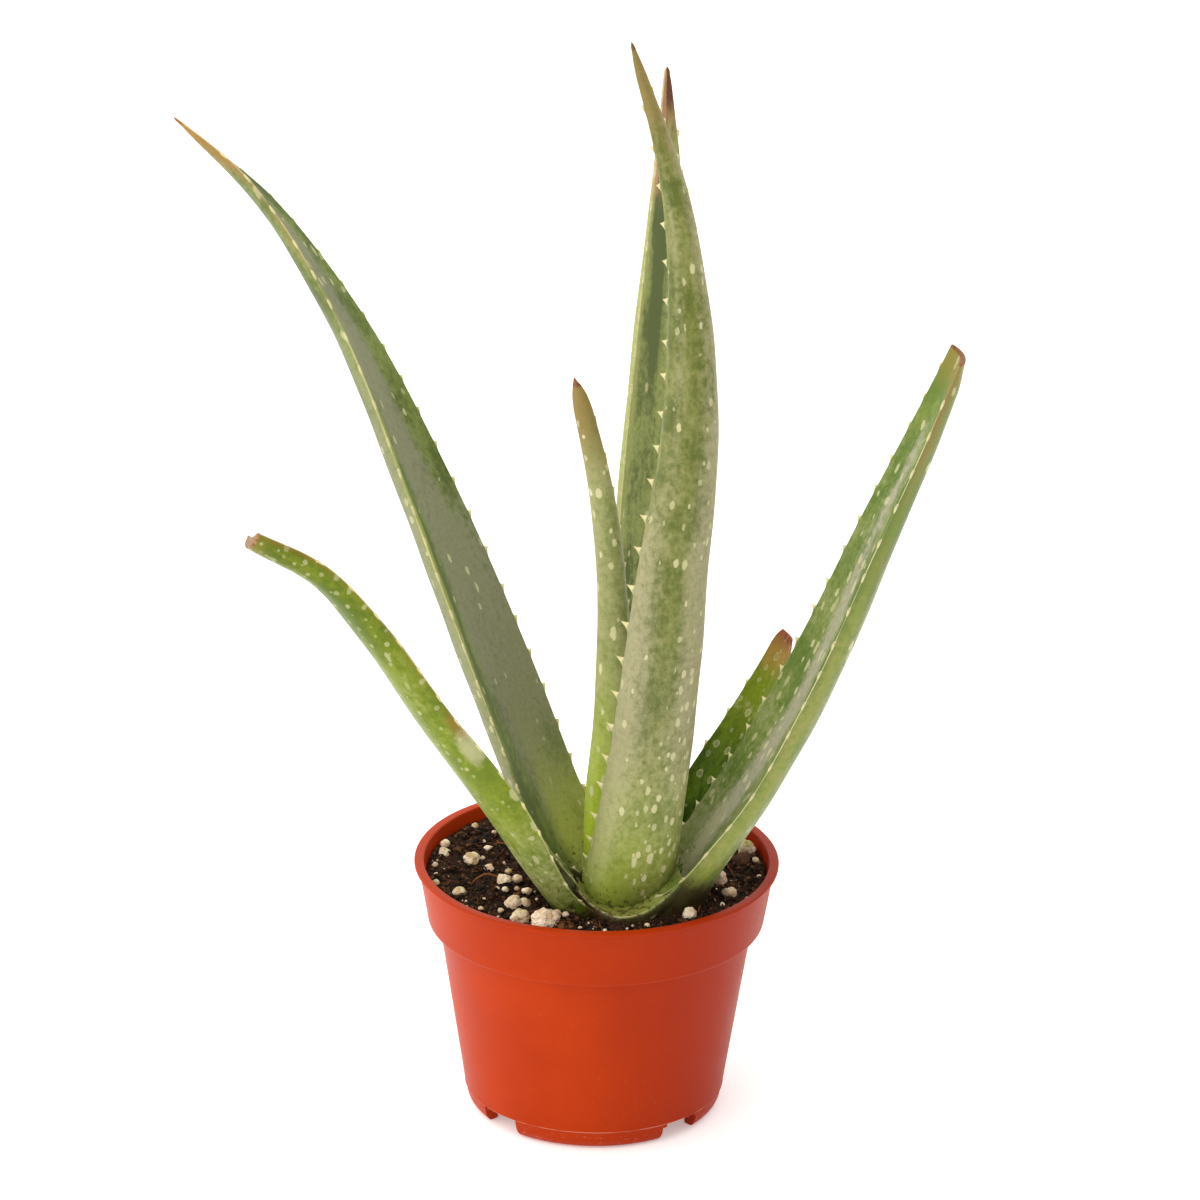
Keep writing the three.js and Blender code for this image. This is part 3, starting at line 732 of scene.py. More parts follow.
def waxed_green(f, deep, fresh, waxy, lime):
    """The leaf's own colour, deep to fresh, under its wax; f.bloom is how thick the wax lies."""
    tone = f.plus(f.times(f.drift, 0.5), f.times(f.veins, 0.1), f.times(f.frayed, 0.4))
    rubbed = f.times(f.math("MINIMUM", f.mark("wax"), 0.0), 0.3)
    green = f.mix(f.rise(f.plus(tone, rubbed), 0.4, 0.6), paint(deep), paint(fresh))
    f.bloom = f.rise(f.plus(f.mark("wax"), f.ragged), 0.1, 0.9, 0.04, 1.0)
    colour = f.mix(f.times(f.bloom, f.rise(f.frayed, 0.36, 0.64, 0.8, 1.0)), green, paint(waxy))
    # The lime mark is the pale colour of the heart and, at some feet, painted light.
    return f.mix(f.times(f.mark("lime"), f.rise(f.drift, 0.25, 0.65, 0.7, 1.0)), colour, paint(lime))


# %% Age, soil and painted shade
GRAIN_GREEN, DRIED_WATER_AND_PAINTED_LIGHT = paint(0x4E5C30), paint(0xBDB890)
WET_SOIL_AND_SHADE, SPLASHED_SOIL = paint(0x30261A), paint(0x3E2814)
SOIL_LINE, WET_TOP = 71 * MM, 78 * MM
SPLASH_FOOT, SPLASH_TOP = 76 * MM, 94 * MM


def crazed(f, colour, deep):
    """Small deep green blotches, and the fine crackle of an old skin in a few patches."""
    crackle = f.node("TexVoronoi", "Distance", {"feature": "DISTANCE_TO_EDGE", "voronoi_dimensions": "2D"},
                     Vector=f.stretch(f.place, 0.62, 0.45, 1), Scale=1.0)
    cracks = f.times(f.rise(crackle, 0.12, 0.02), f.rise(f.drift, 0.5, 0.62), 0.2)
    blotches = f.times(f.rise(f.frayed, 0.5, 0.36), 0.16)
    colour = f.mix(f.math("MAXIMUM", blotches, cracks), colour, paint(deep))
    return f.mix(f.times(f.rise(f.grain, 0.45, 0.75), 0.12), colour, GRAIN_GREEN)


def aged(f, colour, rust, dry):
    """Rust where the skin was scraped, olive where the leaf dries towards its tip."""
    rusty = f.rise(f.plus(f.mark("rust"), f.times(f.ragged, 0.7)), 0.2, 1.0)
    colour = f.mix(f.times(rusty, 0.75), colour, paint(rust))
    olive = f.rise(f.plus(f.mark("dry"), f.times(f.ragged, 0.5)), 0.15, 1.0)
    return f.mix(f.times(olive, 0.8), colour, paint(dry))


def dirtied_and_shaded(f, colour):
    """The pale meal of dried water, which on one leaf also paints light into a shaded hollow, and soil with
    painted shade on the foot.
    """
    # Pale meal of dried water, which on the long right leaf also stands in for light in a shaded hollow.
    meal = f.times(f.rise(f.plus(f.mark("meal"), f.times(f.ragged, 0.9)), 0.35, 0.75), f.mark("meal"))
    colour = f.mix(f.times(meal, 0.75), colour, DRIED_WATER_AND_PAINTED_LIGHT)
    # Soil and painted shade: the dirt mark darkens the feet where the leaves meet the peat.
    soiled_and_shaded = f.rise(f.plus(f.mark("dirt"), f.times(f.ragged, 0.8)), 0.25, 0.85)
    return f.mix(f.times(soiled_and_shaded, 0.88), colour, WET_SOIL_AND_SHADE)


def splashed(f, colour):
    """Specks of soil that watering has thrown up, thickest by the soil."""
    height = f.node("SeparateXYZ", 2, Vector=f.body)
    wet = f.rise(height, WET_TOP, SOIL_LINE, 0, 0.12)
    specks = f.rise(f.plus(f.cloud(f.body, 560.0, 4.0, 0.7), wet), 0.57, 0.66)
    return f.mix(f.times(f.rise(height, SPLASH_TOP, SPLASH_FOOT), specks, 0.8), colour, SPLASHED_SOIL)


# %% [markdown]
# ## Spots, dashes, teeth and tips
# The pale spots are Voronoi cells stretched along the leaf. A point near the middle of a cell is
# pale, and a cell keeps its spot only where the mark for spots is higher than its own chance, which
# is how a smooth mark becomes separate spots. A second set of longer cells makes the dashes.

# %% Spots and dashes
SPOT_CREAM = paint(0xDAD4A6)
DASH_SIZE = (3.6, 12.0)
SPOT_RADII, DASH_RADII = (0.13, 0.29), (0.1, 0.21)


def spot_layer(f, mark, across, along, least, most, is_ring=False):
    """Ovals scattered on the leaf in cells of across by along mm, as a mask."""
    wobble = f.cloud(f.stretch(f.place, 1.6, 0.9, 1), 1.0, 3.0, 0.6)
    cells = f.node("TexVoronoi", "Color", {"voronoi_dimensions": "2D"}, Scale=1.0, Randomness=0.9,
                   Vector=f.stretch(f.place, 1 / across, 1 / along, 1))
    chances = f.node("SeparateColor", Color=cells).node.outputs
    radius = f.rise(chances[0], 0, 1, least, most)
    distance = f.plus(cells.node.outputs["Distance"], f.sway(wobble, 0.24))
    inside = f.rise(f.math("SUBTRACT", radius, distance), 0.0, 0.06)
    kept = f.math("GREATER_THAN", f.mark(mark), chances[1])
    if is_ring:
        hole = f.rise(f.math("SUBTRACT", f.times(radius, 0.8), distance), 0.0, 0.07, 1.0, 0.35)
        inside = f.times(inside, hole)
    return f.times(inside, kept, f.rise(chances[2], 0, 1, 0.6, 1.0))


def spotted(f, colour, ovals, is_ring, cream):
    """Cream spots in cells of ovals mm and cream dashes, as strong as cream."""
    small = spot_layer(f, "spots", *ovals, *SPOT_RADII, is_ring)
    long_ones = spot_layer(f, "dashes", *DASH_SIZE, *DASH_RADII)
    return f.mix(f.times(f.math("MAXIMUM", small, long_ones), cream), colour, SPOT_CREAM)


# %% Margins, teeth and the dead tip
TOOTH_CREAM, TOOTH_TIP, DEAD_VEIN = paint(0xD8CE9A), paint(0xA87848), paint(0x5A3420)


def rimmed(f, colour):
    """A cream rim that comes and goes, and cream teeth with brown points."""
    rim = f.times(f.rise(f.mark("edge"), 0.45, 0.9), f.rise(f.drift, 0.35, 0.6, 0.15, 0.75))
    rim = f.math("MAXIMUM", rim, f.times(f.rise(f.mark("tooth"), 0.02, 0.3), 0.9))
    colour = f.mix(rim, colour, TOOTH_CREAM)
    return f.mix(f.rise(f.mark("tooth"), 0.8, 1.0, 0, 0.75), colour, TOOTH_TIP)


def dead_tipped(f, colour, end):
    """The dead brown end, streaked darker along its veins."""
    dead = f.rise(f.plus(f.mark("end"), f.sway(f.frayed, 0.6)), 0.3, 0.8)
    return f.mix(f.times(dead, 0.9), colour, f.mix(f.rise(f.veins, 0.35, 0.65), paint(end), DEAD_VEIN))


# %% [markdown]
# ## One finish for each leaf
# The leaves differ in age and in how much light they had, so each gets its own greens. The colours
# below are, in order, the deep and the fresh green, the waxy grey, the olive of the drying part and
# the brown of the dead tip. They were set by laying render and photo side by side in the same light.

# %% Put the layers together
FLESH_DEPTH = 1.5 * MM
RELIEF_HEIGHT = 0.6 * MM


def leaf_finish(name, deep, fresh, waxy, dry, end, roughness=0.45, ovals=(2.4, 5.4), is_ring=False,
                lime=0xA8B83C, cream=0.85, gloss=0.26, rust=0xA2744A):
    """A leaf's finish from its own colours, its roughness and the size of its spots in mm."""
    f = Finish(name, Subsurface_Weight=0.1, Subsurface_Radius=(1.0, 1.0, 0.35),
               Subsurface_Scale=FLESH_DEPTH, IOR=1.42, Specular_IOR_Level=gloss)
    growth_noise(f)
    colour = waxed_green(f, deep, fresh, waxy, lime)
    colour = crazed(f, colour, deep)
    colour = aged(f, colour, rust, dry)
    colour = dirtied_and_shaded(f, colour)
    colour = spotted(f, colour, ovals, is_ring, cream)
    colour = rimmed(f, colour)
    colour = dead_tipped(f, colour, end)
    colour = splashed(f, colour)
    relief = f.plus(f.times(f.veins, 0.2), f.times(f.frayed, 0.5), f.times(f.grain, 0.12))
    f.shade(Base_Color=colour, Roughness=f.rise(f.bloom, 0, 1, roughness - 0.1, roughness + 0.12),
            Normal=f.bump(relief, RELIEF_HEIGHT, 0.5))
    return f.material


# %% The colours of the seven leaves
LEAF_FINISHES = {
    "leaf_front_tall": leaf_finish("waxy_front", 0x5A6428, 0x80853E, 0xA49E7A, 0x8A7440, 0x7E6434,
                                   ovals=(2.1, 5.4), lime=0xB4C84A, cream=0.66),
    "leaf_right_long": leaf_finish("waxy_right", 0x587028, 0x808E40, 0xAAA68E, 0x8A7A38, 0x9C5A34,
                                   roughness=0.42, ovals=(2.7, 6.4), cream=0.6, rust=0x90744A),
    "leaf_left_low": leaf_finish("green_low", 0x566A0A, 0x7A8812, 0x989C68, 0x7C7A28, 0xB88A5C,
                                 roughness=0.42, ovals=(2.0, 3.2), cream=0.42, gloss=0.18,
                                 rust=0x8A6428),
    "leaf_centre_short": leaf_finish("green_centre", 0x74803C, 0x8E9850, 0xA8A478, 0x8A7038, 0x94583C,
                                     lime=0xD0E83C),
    # Its lime is painted brighter, as painted light in the shaded heart.
    "leaf_left_tall": leaf_finish("waxy_left", 0x56642E, 0x808E48, 0x8A8A6E, 0x9E7C3A, 0x9A6834,
                                  roughness=0.48, lime=0xD4DC68, cream=0.6),
    "leaf_right_short": leaf_finish("green_right", 0x2A4200, 0x567008, 0x868A54, 0x8A5836, 0xA65A42,
                                    roughness=0.4, ovals=(3.8, 5.0), is_ring=True, lime=0x94A01C,
                                    cream=0.5, gloss=0.1, rust=0xA4763E),
    "leaf_back_tall": leaf_finish("waxy_back", 0x5E683A, 0x969F5C, 0xA9AF6B, 0xA8805C, 0x4E2A1A,
                                  roughness=0.5, cream=0.6, rust=0xCC9472),
}
print("leaf finishes:", sorted(LEAF_FINISHES))

# %% Grow and dress the seven leaves
for name, leaf in LEAVES.items():
    rings, marks, at = grow_skin(leaf)
    rings, marks = round_off(rings, marks, at, CUT_EDGE if "cut" in leaf else POINT_END)
    kept = leaf_marks(leaf, HABITS[name], marks)
    make_piece(name + "_skin", rings.reshape(-1, 3), close_tube(rings), LEAF_FINISHES[name],
               [name], kept)

# %% [markdown]
# ## The sheath round the foot
# The long right leaf clasps its neighbour: its near margin runs on as a low collar round the foot of
# the front leaf and ends beside the low left one. It is a thin cup with a pale rim, dark with soil and
# painted shade where it meets the peat. It could be sculpted, but two listed lines are enough: each row
# below gives a point of the rim and the point where the cup goes in behind the front leaf's foot. A small
# section is carried along them, in the right leaf's finish.

# %% The lines of the cup
CUP_ROWS = [
    ((24.6, -31, 82.8), (22, -20, 84.3)), ((21.5, -31.6, 79.2), (20.4, -20, 81.4)),
    ((19.3, -32, 76.9), (18, -20.5, 79)), ((15.6, -34.4, 75), (14.2, -22, 76.4)),
    ((12.5, -36.2, 74.1), (11.4, -23.5, 74.9)), ((6.8, -37.4, 73.6), (6, -25.5, 74.2)),
    ((3.1, -35.4, 73.7), (2, -24, 74.4)), ((-0.6, -31.6, 74.3), (-1.2, -22, 75)),
    ((-2.9, -28.4, 75), (-3.5, -20, 75.8)), ((-4.9, -24.7, 76), (-5.2, -19, 76.5)),
]
cup_rim, cup_back = (Spine([(*row[k], 1) for row in CUP_ROWS]) for k in (0, 1))
print("rim of the cup in mm:", round(cup_rim.length, 1))

# %% The cup's section carried along
CUP_STATIONS = 91
RIM_RIPPLE, CUP_SWELL, CUP_SKIRT = 0.3, 2.4, 3
# The lip: mm outward, mm up, and 1 for outside or 0.5 for the edge. Inside: share of the way, mm up.
CUP_LIP = [(-0.8, -6, 1), (0.5, -2.4, 1), (0.45, -0.7, 1), (0, 0, 0.5)]
CUP_INSIDE = [(0.07, -0.3), (0.25, -0.5), (0.55, -0.5), (1, 0)]
# Where the finish takes each line of the section to lie, in mm across a leaf.
CUP_ACROSS = [6, 9.6, 11.3, 12, 13, 15.5, 19.5, 23, 26]


def cup_rings(t):
    """Down the outside of the lip in steps outward and up, then inward by shares of the way."""
    edge, back = cup_rim.at(t), cup_back.at(t)
    heading = np.gradient(edge, axis=0)
    outward = np.stack([-heading[:, 1], heading[:, 0], 0 * t], axis=1)
    outward /= np.linalg.norm(outward, axis=1)[:, None]
    upward = np.array([0, 0, 1.0])
    ripple = np.array([RIM_RIPPLE * noise.noise(Vector((9 * k, 0, 5))) for k in t])[:, None]
    edge = edge + (outward + 0.6 * upward) * ripple
    swell = CUP_SWELL * hill(t, 0.26, 0.17)[:, None]
    columns = [edge + outward * out + upward * rise for out, rise, _ in CUP_LIP]
    columns += [edge + (back - edge) * share + upward * (rise + swell * share * (1 - share) * 4)
                for share, rise in CUP_INSIDE]
    return np.stack([*columns, back - CUP_SKIRT * upward], axis=1)


def cup_marks(t):
    """Earthy and darkened with painted shade outside, rusty and a little lime inside, with a pale edge
    between.
    """
    under = np.array([row[2] for row in CUP_LIP] + [0] * (len(CUP_INSIDE) + 1)) + 0 * t
    across = np.array(CUP_ACROSS) + 0 * t
    marks = {key: 0 * across for key in ("edge", "tooth", "dry", "end", *HABIT_MARKS)}
    marks |= dict(edge=(under == 0.5) * 0.8, dashes=0.15 + 0 * across, lime=0.3 * (1 - under),
                  wax=0.3 * (1 - t) * (1 - under), rust=0.3 + 0.35 * t + 0 * across,
                  # The dirt on the outside is soil and painted shade.
                  dirt=0.75 * (under == 1) + 0.2 * (under == 0))
    place = np.stack([across, t * cup_rim.length + 0 * across, 0 * across + 7], axis=2)
    return {"leaf_place": place.reshape(-1, 3)} | {key: row.ravel() for key, row in marks.items()}


# %% Close the cup and dress it
t = np.linspace(0, 1, CUP_STATIONS)
rings, marks = cup_rings(t), cup_marks(t[:, None])
index = np.arange(rings.size // 3).reshape(rings.shape[:2])
after = np.roll(index, -1, axis=1)
faces = np.stack([index[:-1], index[1:], after[1:], after[:-1]], axis=2).reshape(-1, 4).tolist()
faces += [index[0].tolist(), index[-1][::-1].tolist()]
make_piece("leaf_right_long_sheath", rings.reshape(-1, 3), faces, LEAF_FINISHES["leaf_right_long"],
           marks=marks)

# %% [markdown]
# ## The pot
# A nursery pot is thin injection-moulded plastic: a tapered body, a wider collar, a lip ring and a
# foot ring with gaps for water. A lathe shape fits it, since it is round: one outline with its
# corners eased, turned round the axis. The gaps and drain holes are cut with a Boolean. The lip is a
# little wavy and nicked, as these pots are.

# %% The pot's measures
POT_HEIGHT, RIM_RADIUS, LIP_REACH, LIP_DEPTH = 75, 52.5, 1.2, 1
BAND_FOOT_RADIUS, BAND_FOOT_HEIGHT, BODY_TOP_RADIUS = 48.5, 57.3, 45.4
FOOT_HEIGHT, SEAM_RADIUS, FOOT_RADIUS, FOOT_INNER_RADIUS = 5.6, 37.6, 35.2, 32.3
POT_WALL, FLOOR_THICKNESS = 1.2, 1.5
NOTCHES, NOTCH_WIDTH, NOTCH_TURN = 4, 13, 43
DRAIN_RADIUS, DRAIN_RING_RADIUS = 4, 25
band_top_radius = RIM_RADIUS - LIP_REACH
lip_foot_height = POT_HEIGHT - LIP_DEPTH
floor_foot = FOOT_HEIGHT - 0.2
floor_top = floor_foot + FLOOR_THICKNESS
inner_top, inner_step = band_top_radius - 1.6, BAND_FOOT_RADIUS - POT_WALL
inner_body, inner_floor = BODY_TOP_RADIUS - POT_WALL, SEAM_RADIUS - POT_WALL + 0.2
print("pot across its rim and tall, in mm:", 2 * RIM_RADIUS, POT_HEIGHT)

# %% The pot's outline


def eased(corners):
    """An outline of x, z, easing rows with each corner turned into a short curve."""
    outline = []
    for k, (x, z, ease) in enumerate(corners):
        here = np.array([x, z], float)
        if ease == 0 or k in (0, len(corners) - 1):
            outline.append(here)
            continue
        before, after = (np.array(corners[k + step][:2], float) for step in (-1, 1))
        cuts = [here + (other - here) * min(ease / np.linalg.norm(other - here), 0.45)
                for other in (before, after)]
        for w in np.linspace(0, 1, 5):
            outline.append(cuts[0] * (1 - w) ** 2 + 2 * here * w * (1 - w) + cuts[1] * w**2)
    return np.array(outline)


pot_outline = eased([
    (0, floor_foot, 0), (FOOT_INNER_RADIUS, floor_foot, 0.8), (FOOT_INNER_RADIUS, 0, 0.5),
    (FOOT_RADIUS, 0, 0.7), (SEAM_RADIUS - 0.9, 1.8, 1.6), (SEAM_RADIUS - 0.25, FOOT_HEIGHT - 0.35, 0.1),
    (SEAM_RADIUS + 0.05, FOOT_HEIGHT - 0.1, 0.15), (SEAM_RADIUS, FOOT_HEIGHT + 0.2, 0.15),
    (SEAM_RADIUS + 0.6, FOOT_HEIGHT + 4.5, 2), (BODY_TOP_RADIUS, BAND_FOOT_HEIGHT - 0.6, 0.7),
    (BAND_FOOT_RADIUS - 0.35, BAND_FOOT_HEIGHT - 0.6, 0.2), (BAND_FOOT_RADIUS, BAND_FOOT_HEIGHT, 0.4),
    (band_top_radius, lip_foot_height, 0.5), (RIM_RADIUS, lip_foot_height, 0.35),
    (RIM_RADIUS, POT_HEIGHT, 0.45), (inner_top, POT_HEIGHT, 0.5), (inner_step, BAND_FOOT_HEIGHT + 1, 1.5),
    (inner_body, BAND_FOOT_HEIGHT - 0.6, 1.5), (inner_floor, floor_top, 2), (0, floor_top, 0),
])
print("outline points of the pot:", len(pot_outline))

# %% Turn an outline round the axis
# Nicks of the lip: place round it in degrees, depth in mm and spread in degrees.
LIP_NICKS = ((-76, 0.35, 1.2), (-64, 0.4, 0.9), (-104, 0.45, 1.6), (-118, 0.3, 0.8), (-40, 0.35, 1.1),
             (20, 0.4, 1.4), (95, 0.35, 1.3), (160, 0.4, 1.2), (200, 0.3, 1.0))


def lathe(outline, sides, shift=None):
    """Points and faces of an outline turned round the axis; shift may move a point."""
    turns = np.radians(np.arange(sides) * 360 / sides)
    points, rows = [], []
    for r, z in outline:
        if r == 0:
            rows.append([len(points)] * sides)
            points.append((0, 0, z))
            continue
        rows.append(list(range(len(points), len(points) + sides)))
        for turn in turns:
            dr, dz = shift(r, z, turn) if shift else (0, 0)
            points.append(((r + dr) * math.cos(turn), (r + dr) * math.sin(turn), z + dz))
    faces = []
    for low, high in zip(rows, rows[1:]):
        for k in range(sides):
            after = (k + 1) % sides
            corners = [low[k], low[after], high[after], high[k]]
            faces.append(list(dict.fromkeys(corners)))
    return points, faces


def lip_wear(r, z, turn):
    """The lip is slightly wavy and has small nicks at its outer edge, left by the mould."""
    if z < lip_foot_height - 0.5:
        return 0, 0
    dr, dz = 0.0, 0.08 * math.sin(3 * turn + 0.6) + 0.05 * math.sin(7 * turn + 2) - 0.13
    for place, size, spread in LIP_NICKS:
        gap = (math.degrees(turn) - place + 180) % 360 - 180
        near = math.exp(-((gap / spread) ** 2))
        if r > band_top_radius:
            dz -= size * near * (z < POT_HEIGHT - 0.3)
    return dr, dz


# %% [markdown]
# ## Cutting the gaps and holes
# The foot ring has four gaps and the floor four drain holes. Cutting them by hand into the lathe's
# grid would leave stretched faces all round. A Boolean with an eased box and a short cylinder at
# each quarter leaves the wall untouched and the corners as clean as a mould makes them.

# %% Cut the gaps and the drain holes
POT_SIDES, DRAIN_SIDES = 240, 36
NOTCH_EASING, NOTCH_REACH = 1.2, 4
DRAIN_TAPER = 0.2


def turned_solid(name, outline, sides, shift=None):
    """An object in mm from a turned outline, for the Boolean to work on."""
    mesh = bpy.data.meshes.new(name)
    points, faces = lathe(outline, sides, shift)
    mesh.from_pydata([tuple(p) for p in points], [], faces)
    solid = bpy.data.objects.new(name, mesh)
    bpy.context.scene.collection.objects.link(solid)
    return solid


def cut_away(solid, cutters):
    """The solid's mesh with the cutters taken out of it; the cutters are deleted."""
    for cutter in cutters:
        cut = solid.modifiers.new("cut", "BOOLEAN")
        cut.operation, cut.solver, cut.object = "DIFFERENCE", "EXACT", cutter
    evaluated = solid.evaluated_get(bpy.context.evaluated_depsgraph_get())
    mesh = bpy.data.meshes.new_from_object(evaluated)
    for gone in [solid, *cutters]:
        bpy.data.objects.remove(gone)
    return mesh


def box_cutter(middle, size, turn):
    """A box across the foot ring, its two upper long edges eased, turned round the axis."""
    shape = bmesh.new()
    bmesh.ops.create_cube(shape, size=1.0)
    place = Matrix.Rotation(turn, 4, "Z") @ Matrix.Translation(middle) @ Matrix.Diagonal((*size, 1))
    shape.transform(place)
    level = [e for e in shape.edges if abs((e.verts[0].co - e.verts[1].co).normalized().z) < 0.1]
    rim = [e for e in level if all(v.co.z > 0 for v in e.verts)
           and abs((Matrix.Rotation(-turn, 3, "Z") @ (e.verts[0].co - e.verts[1].co)).normalized().x) > 0.9]
    bmesh.ops.bevel(shape, geom=rim, offset=NOTCH_EASING, segments=4, affect="EDGES")
    mesh = bpy.data.meshes.new("notch")
    shape.to_mesh(mesh)
    shape.free()
    cutter = bpy.data.objects.new("notch", mesh)
    bpy.context.scene.collection.objects.link(cutter)
    return cutter


cutters = []
ring_width = SEAM_RADIUS - FOOT_INNER_RADIUS
for k in range(NOTCHES):
    turn = math.radians(NOTCH_TURN + 360 / NOTCHES * k)
    cutters.append(box_cutter((FOOT_INNER_RADIUS + ring_width / 2, 0, 0),
                              (ring_width + NOTCH_REACH, NOTCH_WIDTH, 2 * floor_foot), turn))
    drain = turned_solid("drain", [(0, floor_foot - 1), (DRAIN_RADIUS + DRAIN_TAPER, floor_foot - 1),
                                   (DRAIN_RADIUS, floor_top + 1), (0, floor_top + 1)], DRAIN_SIDES)
    drain.data.transform(Matrix.Rotation(turn, 4, "Z") @ Matrix.Translation((DRAIN_RING_RADIUS, 0, 0)))
    cutters.append(drain)
bpy.context.view_layer.update()
pot_mesh = cut_away(turned_solid("pot_blank", pot_outline, POT_SIDES, lip_wear), cutters)
print("pot faces after the cuts:", len(pot_mesh.polygons))

# %% [markdown]
# ## The pot's finish
# The plastic is a saturated terracotta orange with a satin skin. Seen close it isn't even: the pigment
# drifts slightly, dust lies in specks, the foot is scuffed pale, and the parting line of the mould shows
# as a thin broken whitish line. The right side, away from the key light, is painted a deeper orange as
# painted shade. A painted picture would need a flat layout of the pot. Height and noise on the pot
# itself need none.

# %% The pot's plastic
# Where the painted shade of the right side starts and where it is full, in mm along X.
PAINTED_SHADE_START, PAINTED_SHADE_FULL = -5 * MM, 50 * MM
MOULD_LINE = (FOOT_HEIGHT - 0.1) * MM
SCUFF_FOOT, SCUFF_TOP = 1 * MM, 7 * MM
PAINTED_SHADE_PLASTIC, POT_DUST, BARE_PLASTIC = paint(0x982500), paint(0xD89878), paint(0xE8B498)


def pot_finish():
    f = Finish("terracotta_plastic", IOR=1.45, Specular_IOR_Level=0.1)
    body = f.node("TexCoord", "Object")
    sideways, height = (f.node("SeparateXYZ", k, Vector=body) for k in (0, 2))
    drift = f.cloud(body, 38.0, 3.0)
    colour = f.mix(f.rise(drift, 0.3, 0.7), paint(0xAA3000), paint(0xB43600))
    # Painted shade: the right side, away from the key light, is mixed to a deeper orange.
    colour = f.mix(f.rise(sideways, PAINTED_SHADE_START, PAINTED_SHADE_FULL, 0, 0.9), colour, PAINTED_SHADE_PLASTIC)
    dust = f.times(f.rise(f.cloud(body, 1500.0, 2.0, 0.7), 0.66, 0.76), f.rise(drift, 0.35, 0.7, 0.2, 0.7))
    colour = f.mix(f.times(dust, 0.3), colour, POT_DUST)
    from_line = f.math("ABSOLUTE", f.math("SUBTRACT", height, MOULD_LINE))
    broken = f.rise(f.cloud(body, 160.0, 3.0), 0.38, 0.6, 0.2, 1.0)
    line = f.times(f.rise(from_line, 0.2 * MM, 0.06 * MM), broken)
    scratches = f.rise(f.cloud(f.stretch(body, 1, 1, 3), 500.0, 4.0, 0.7), 0.56, 0.7)
    scuffs = f.times(f.rise(height, SCUFF_TOP, SCUFF_FOOT), scratches)
    colour = f.mix(f.math("MAXIMUM", f.times(line, 0.45), f.times(scuffs, 0.3)), colour, BARE_PLASTIC)
    grain = f.cloud(body, 1500.0, 3.0, 0.6)
    satin = f.rise(f.plus(f.times(drift, 0.5), f.times(grain, 0.5)), 0.3, 0.7, 0.36, 0.5)
    f.shade(Base_Color=colour, Roughness=satin, Normal=f.bump(grain, 0.2 * MM, 0.25))
    return f.material


# %% Dress the pot
SHARP_TURN = math.radians(42)
pot_mesh.transform(Matrix.Translation(pot_axis) @ Matrix.Scale(MM, 4))
pot_mesh.shade_smooth()
pot_mesh.set_sharp_from_angle(angle=SHARP_TURN)
pot_mesh.materials.clear()
pot_mesh.materials.append(pot_finish())
pot_piece = bpy.data.objects.new("pot_moulded", pot_mesh)
bpy.context.scene.collection.objects.link(pot_piece)
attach(pot_piece, "root")
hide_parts("pot")
print("pot_moulded points:", len(pot_mesh.vertices), "finish:", pot_mesh.materials[0].name)

# %% [markdown]
# ## The potting mix
# The mix is dark peat, lumpy at every size. A plain noise bump reads as tar, so the surface is built
# in three sizes: slow waves that match the solid, small clods moved in the mesh, and thousands of
# loose crumbs and rusty fibres laid on top. The body closes down the wall to the pot's floor.

# %% The soil's surface
SOIL_HEIGHT, SOIL_CROWN = 71.2, 0.8
SOIL_CLEARANCE = 0.45
CLODS = ((0.95, 4.2, 3), (0.7, 1.9, 7), (0.3, 0.9, 9))
up_the_collar = (SOIL_HEIGHT - BAND_FOOT_HEIGHT - 1) / (POT_HEIGHT - BAND_FOOT_HEIGHT - 1)
soil_radius = blend(inner_step, inner_top, up_the_collar) - SOIL_CLEARANCE


def soil_relief(x, y):
    """The slow waves that the CAD solid's surface has too, in mm."""
    return (0.7 * math.sin(0.31 * x + 1.3) * math.cos(0.27 * y + 0.4)
            + 0.45 * math.sin(0.74 * x - 0.55 * y) + 0.35 * math.cos(0.9 * y + 0.35 * x + 2))


def clods(x, y):
    """Small unevenness of the peat in mm: noise of three heights and widths."""
    return sum(high * noise.noise(Vector((x / wide, y / wide, seed))) for high, wide, seed in CLODS)


def soil_level(x, y, fine=True):
    """How high the soil lies at a place, with its clods or, as the solid has it, without."""
    part = min(math.hypot(x, y) / soil_radius, 1)
    level = SOIL_HEIGHT + SOIL_CROWN * (1 - part * part) + (1 - part**6) * soil_relief(x, y)
    return level + (clods(x, y) if fine else 0)


print("soil radius in mm:", round(soil_radius, 2))

# %% The soil's body
SOIL_RINGS, SOIL_SIDES = 84, 360
soil_outline = [(0, floor_top + 0.3), (inner_floor - SOIL_CLEARANCE, floor_top + 0.3),
                (inner_body - SOIL_CLEARANCE, BAND_FOOT_HEIGHT - 0.6),
                (inner_step - SOIL_CLEARANCE, BAND_FOOT_HEIGHT + 1)]
soil_outline += [(soil_radius * (1 - k / SOIL_RINGS), SOIL_HEIGHT) for k in range(SOIL_RINGS + 1)]
soil_outline[-1] = (0, SOIL_HEIGHT)


def soil_shift(r, z, turn):
    return (0, 0) if z < SOIL_HEIGHT else (0, soil_level(r * math.cos(turn), r * math.sin(turn)) - z)


soil_points, soil_faces = lathe(soil_outline, SOIL_SIDES, soil_shift)
soil_points = [list(point) for point in soil_points]
soil_points[-1][2] = soil_level(0, 0)
print("soil points:", len(soil_points))

# %% The soil's finish
PEAT_FIBRE, PEAT_BIT, PEAT_BARK = paint(0x7A4C2C), paint(0x8A5C30), paint(0x8C5830)


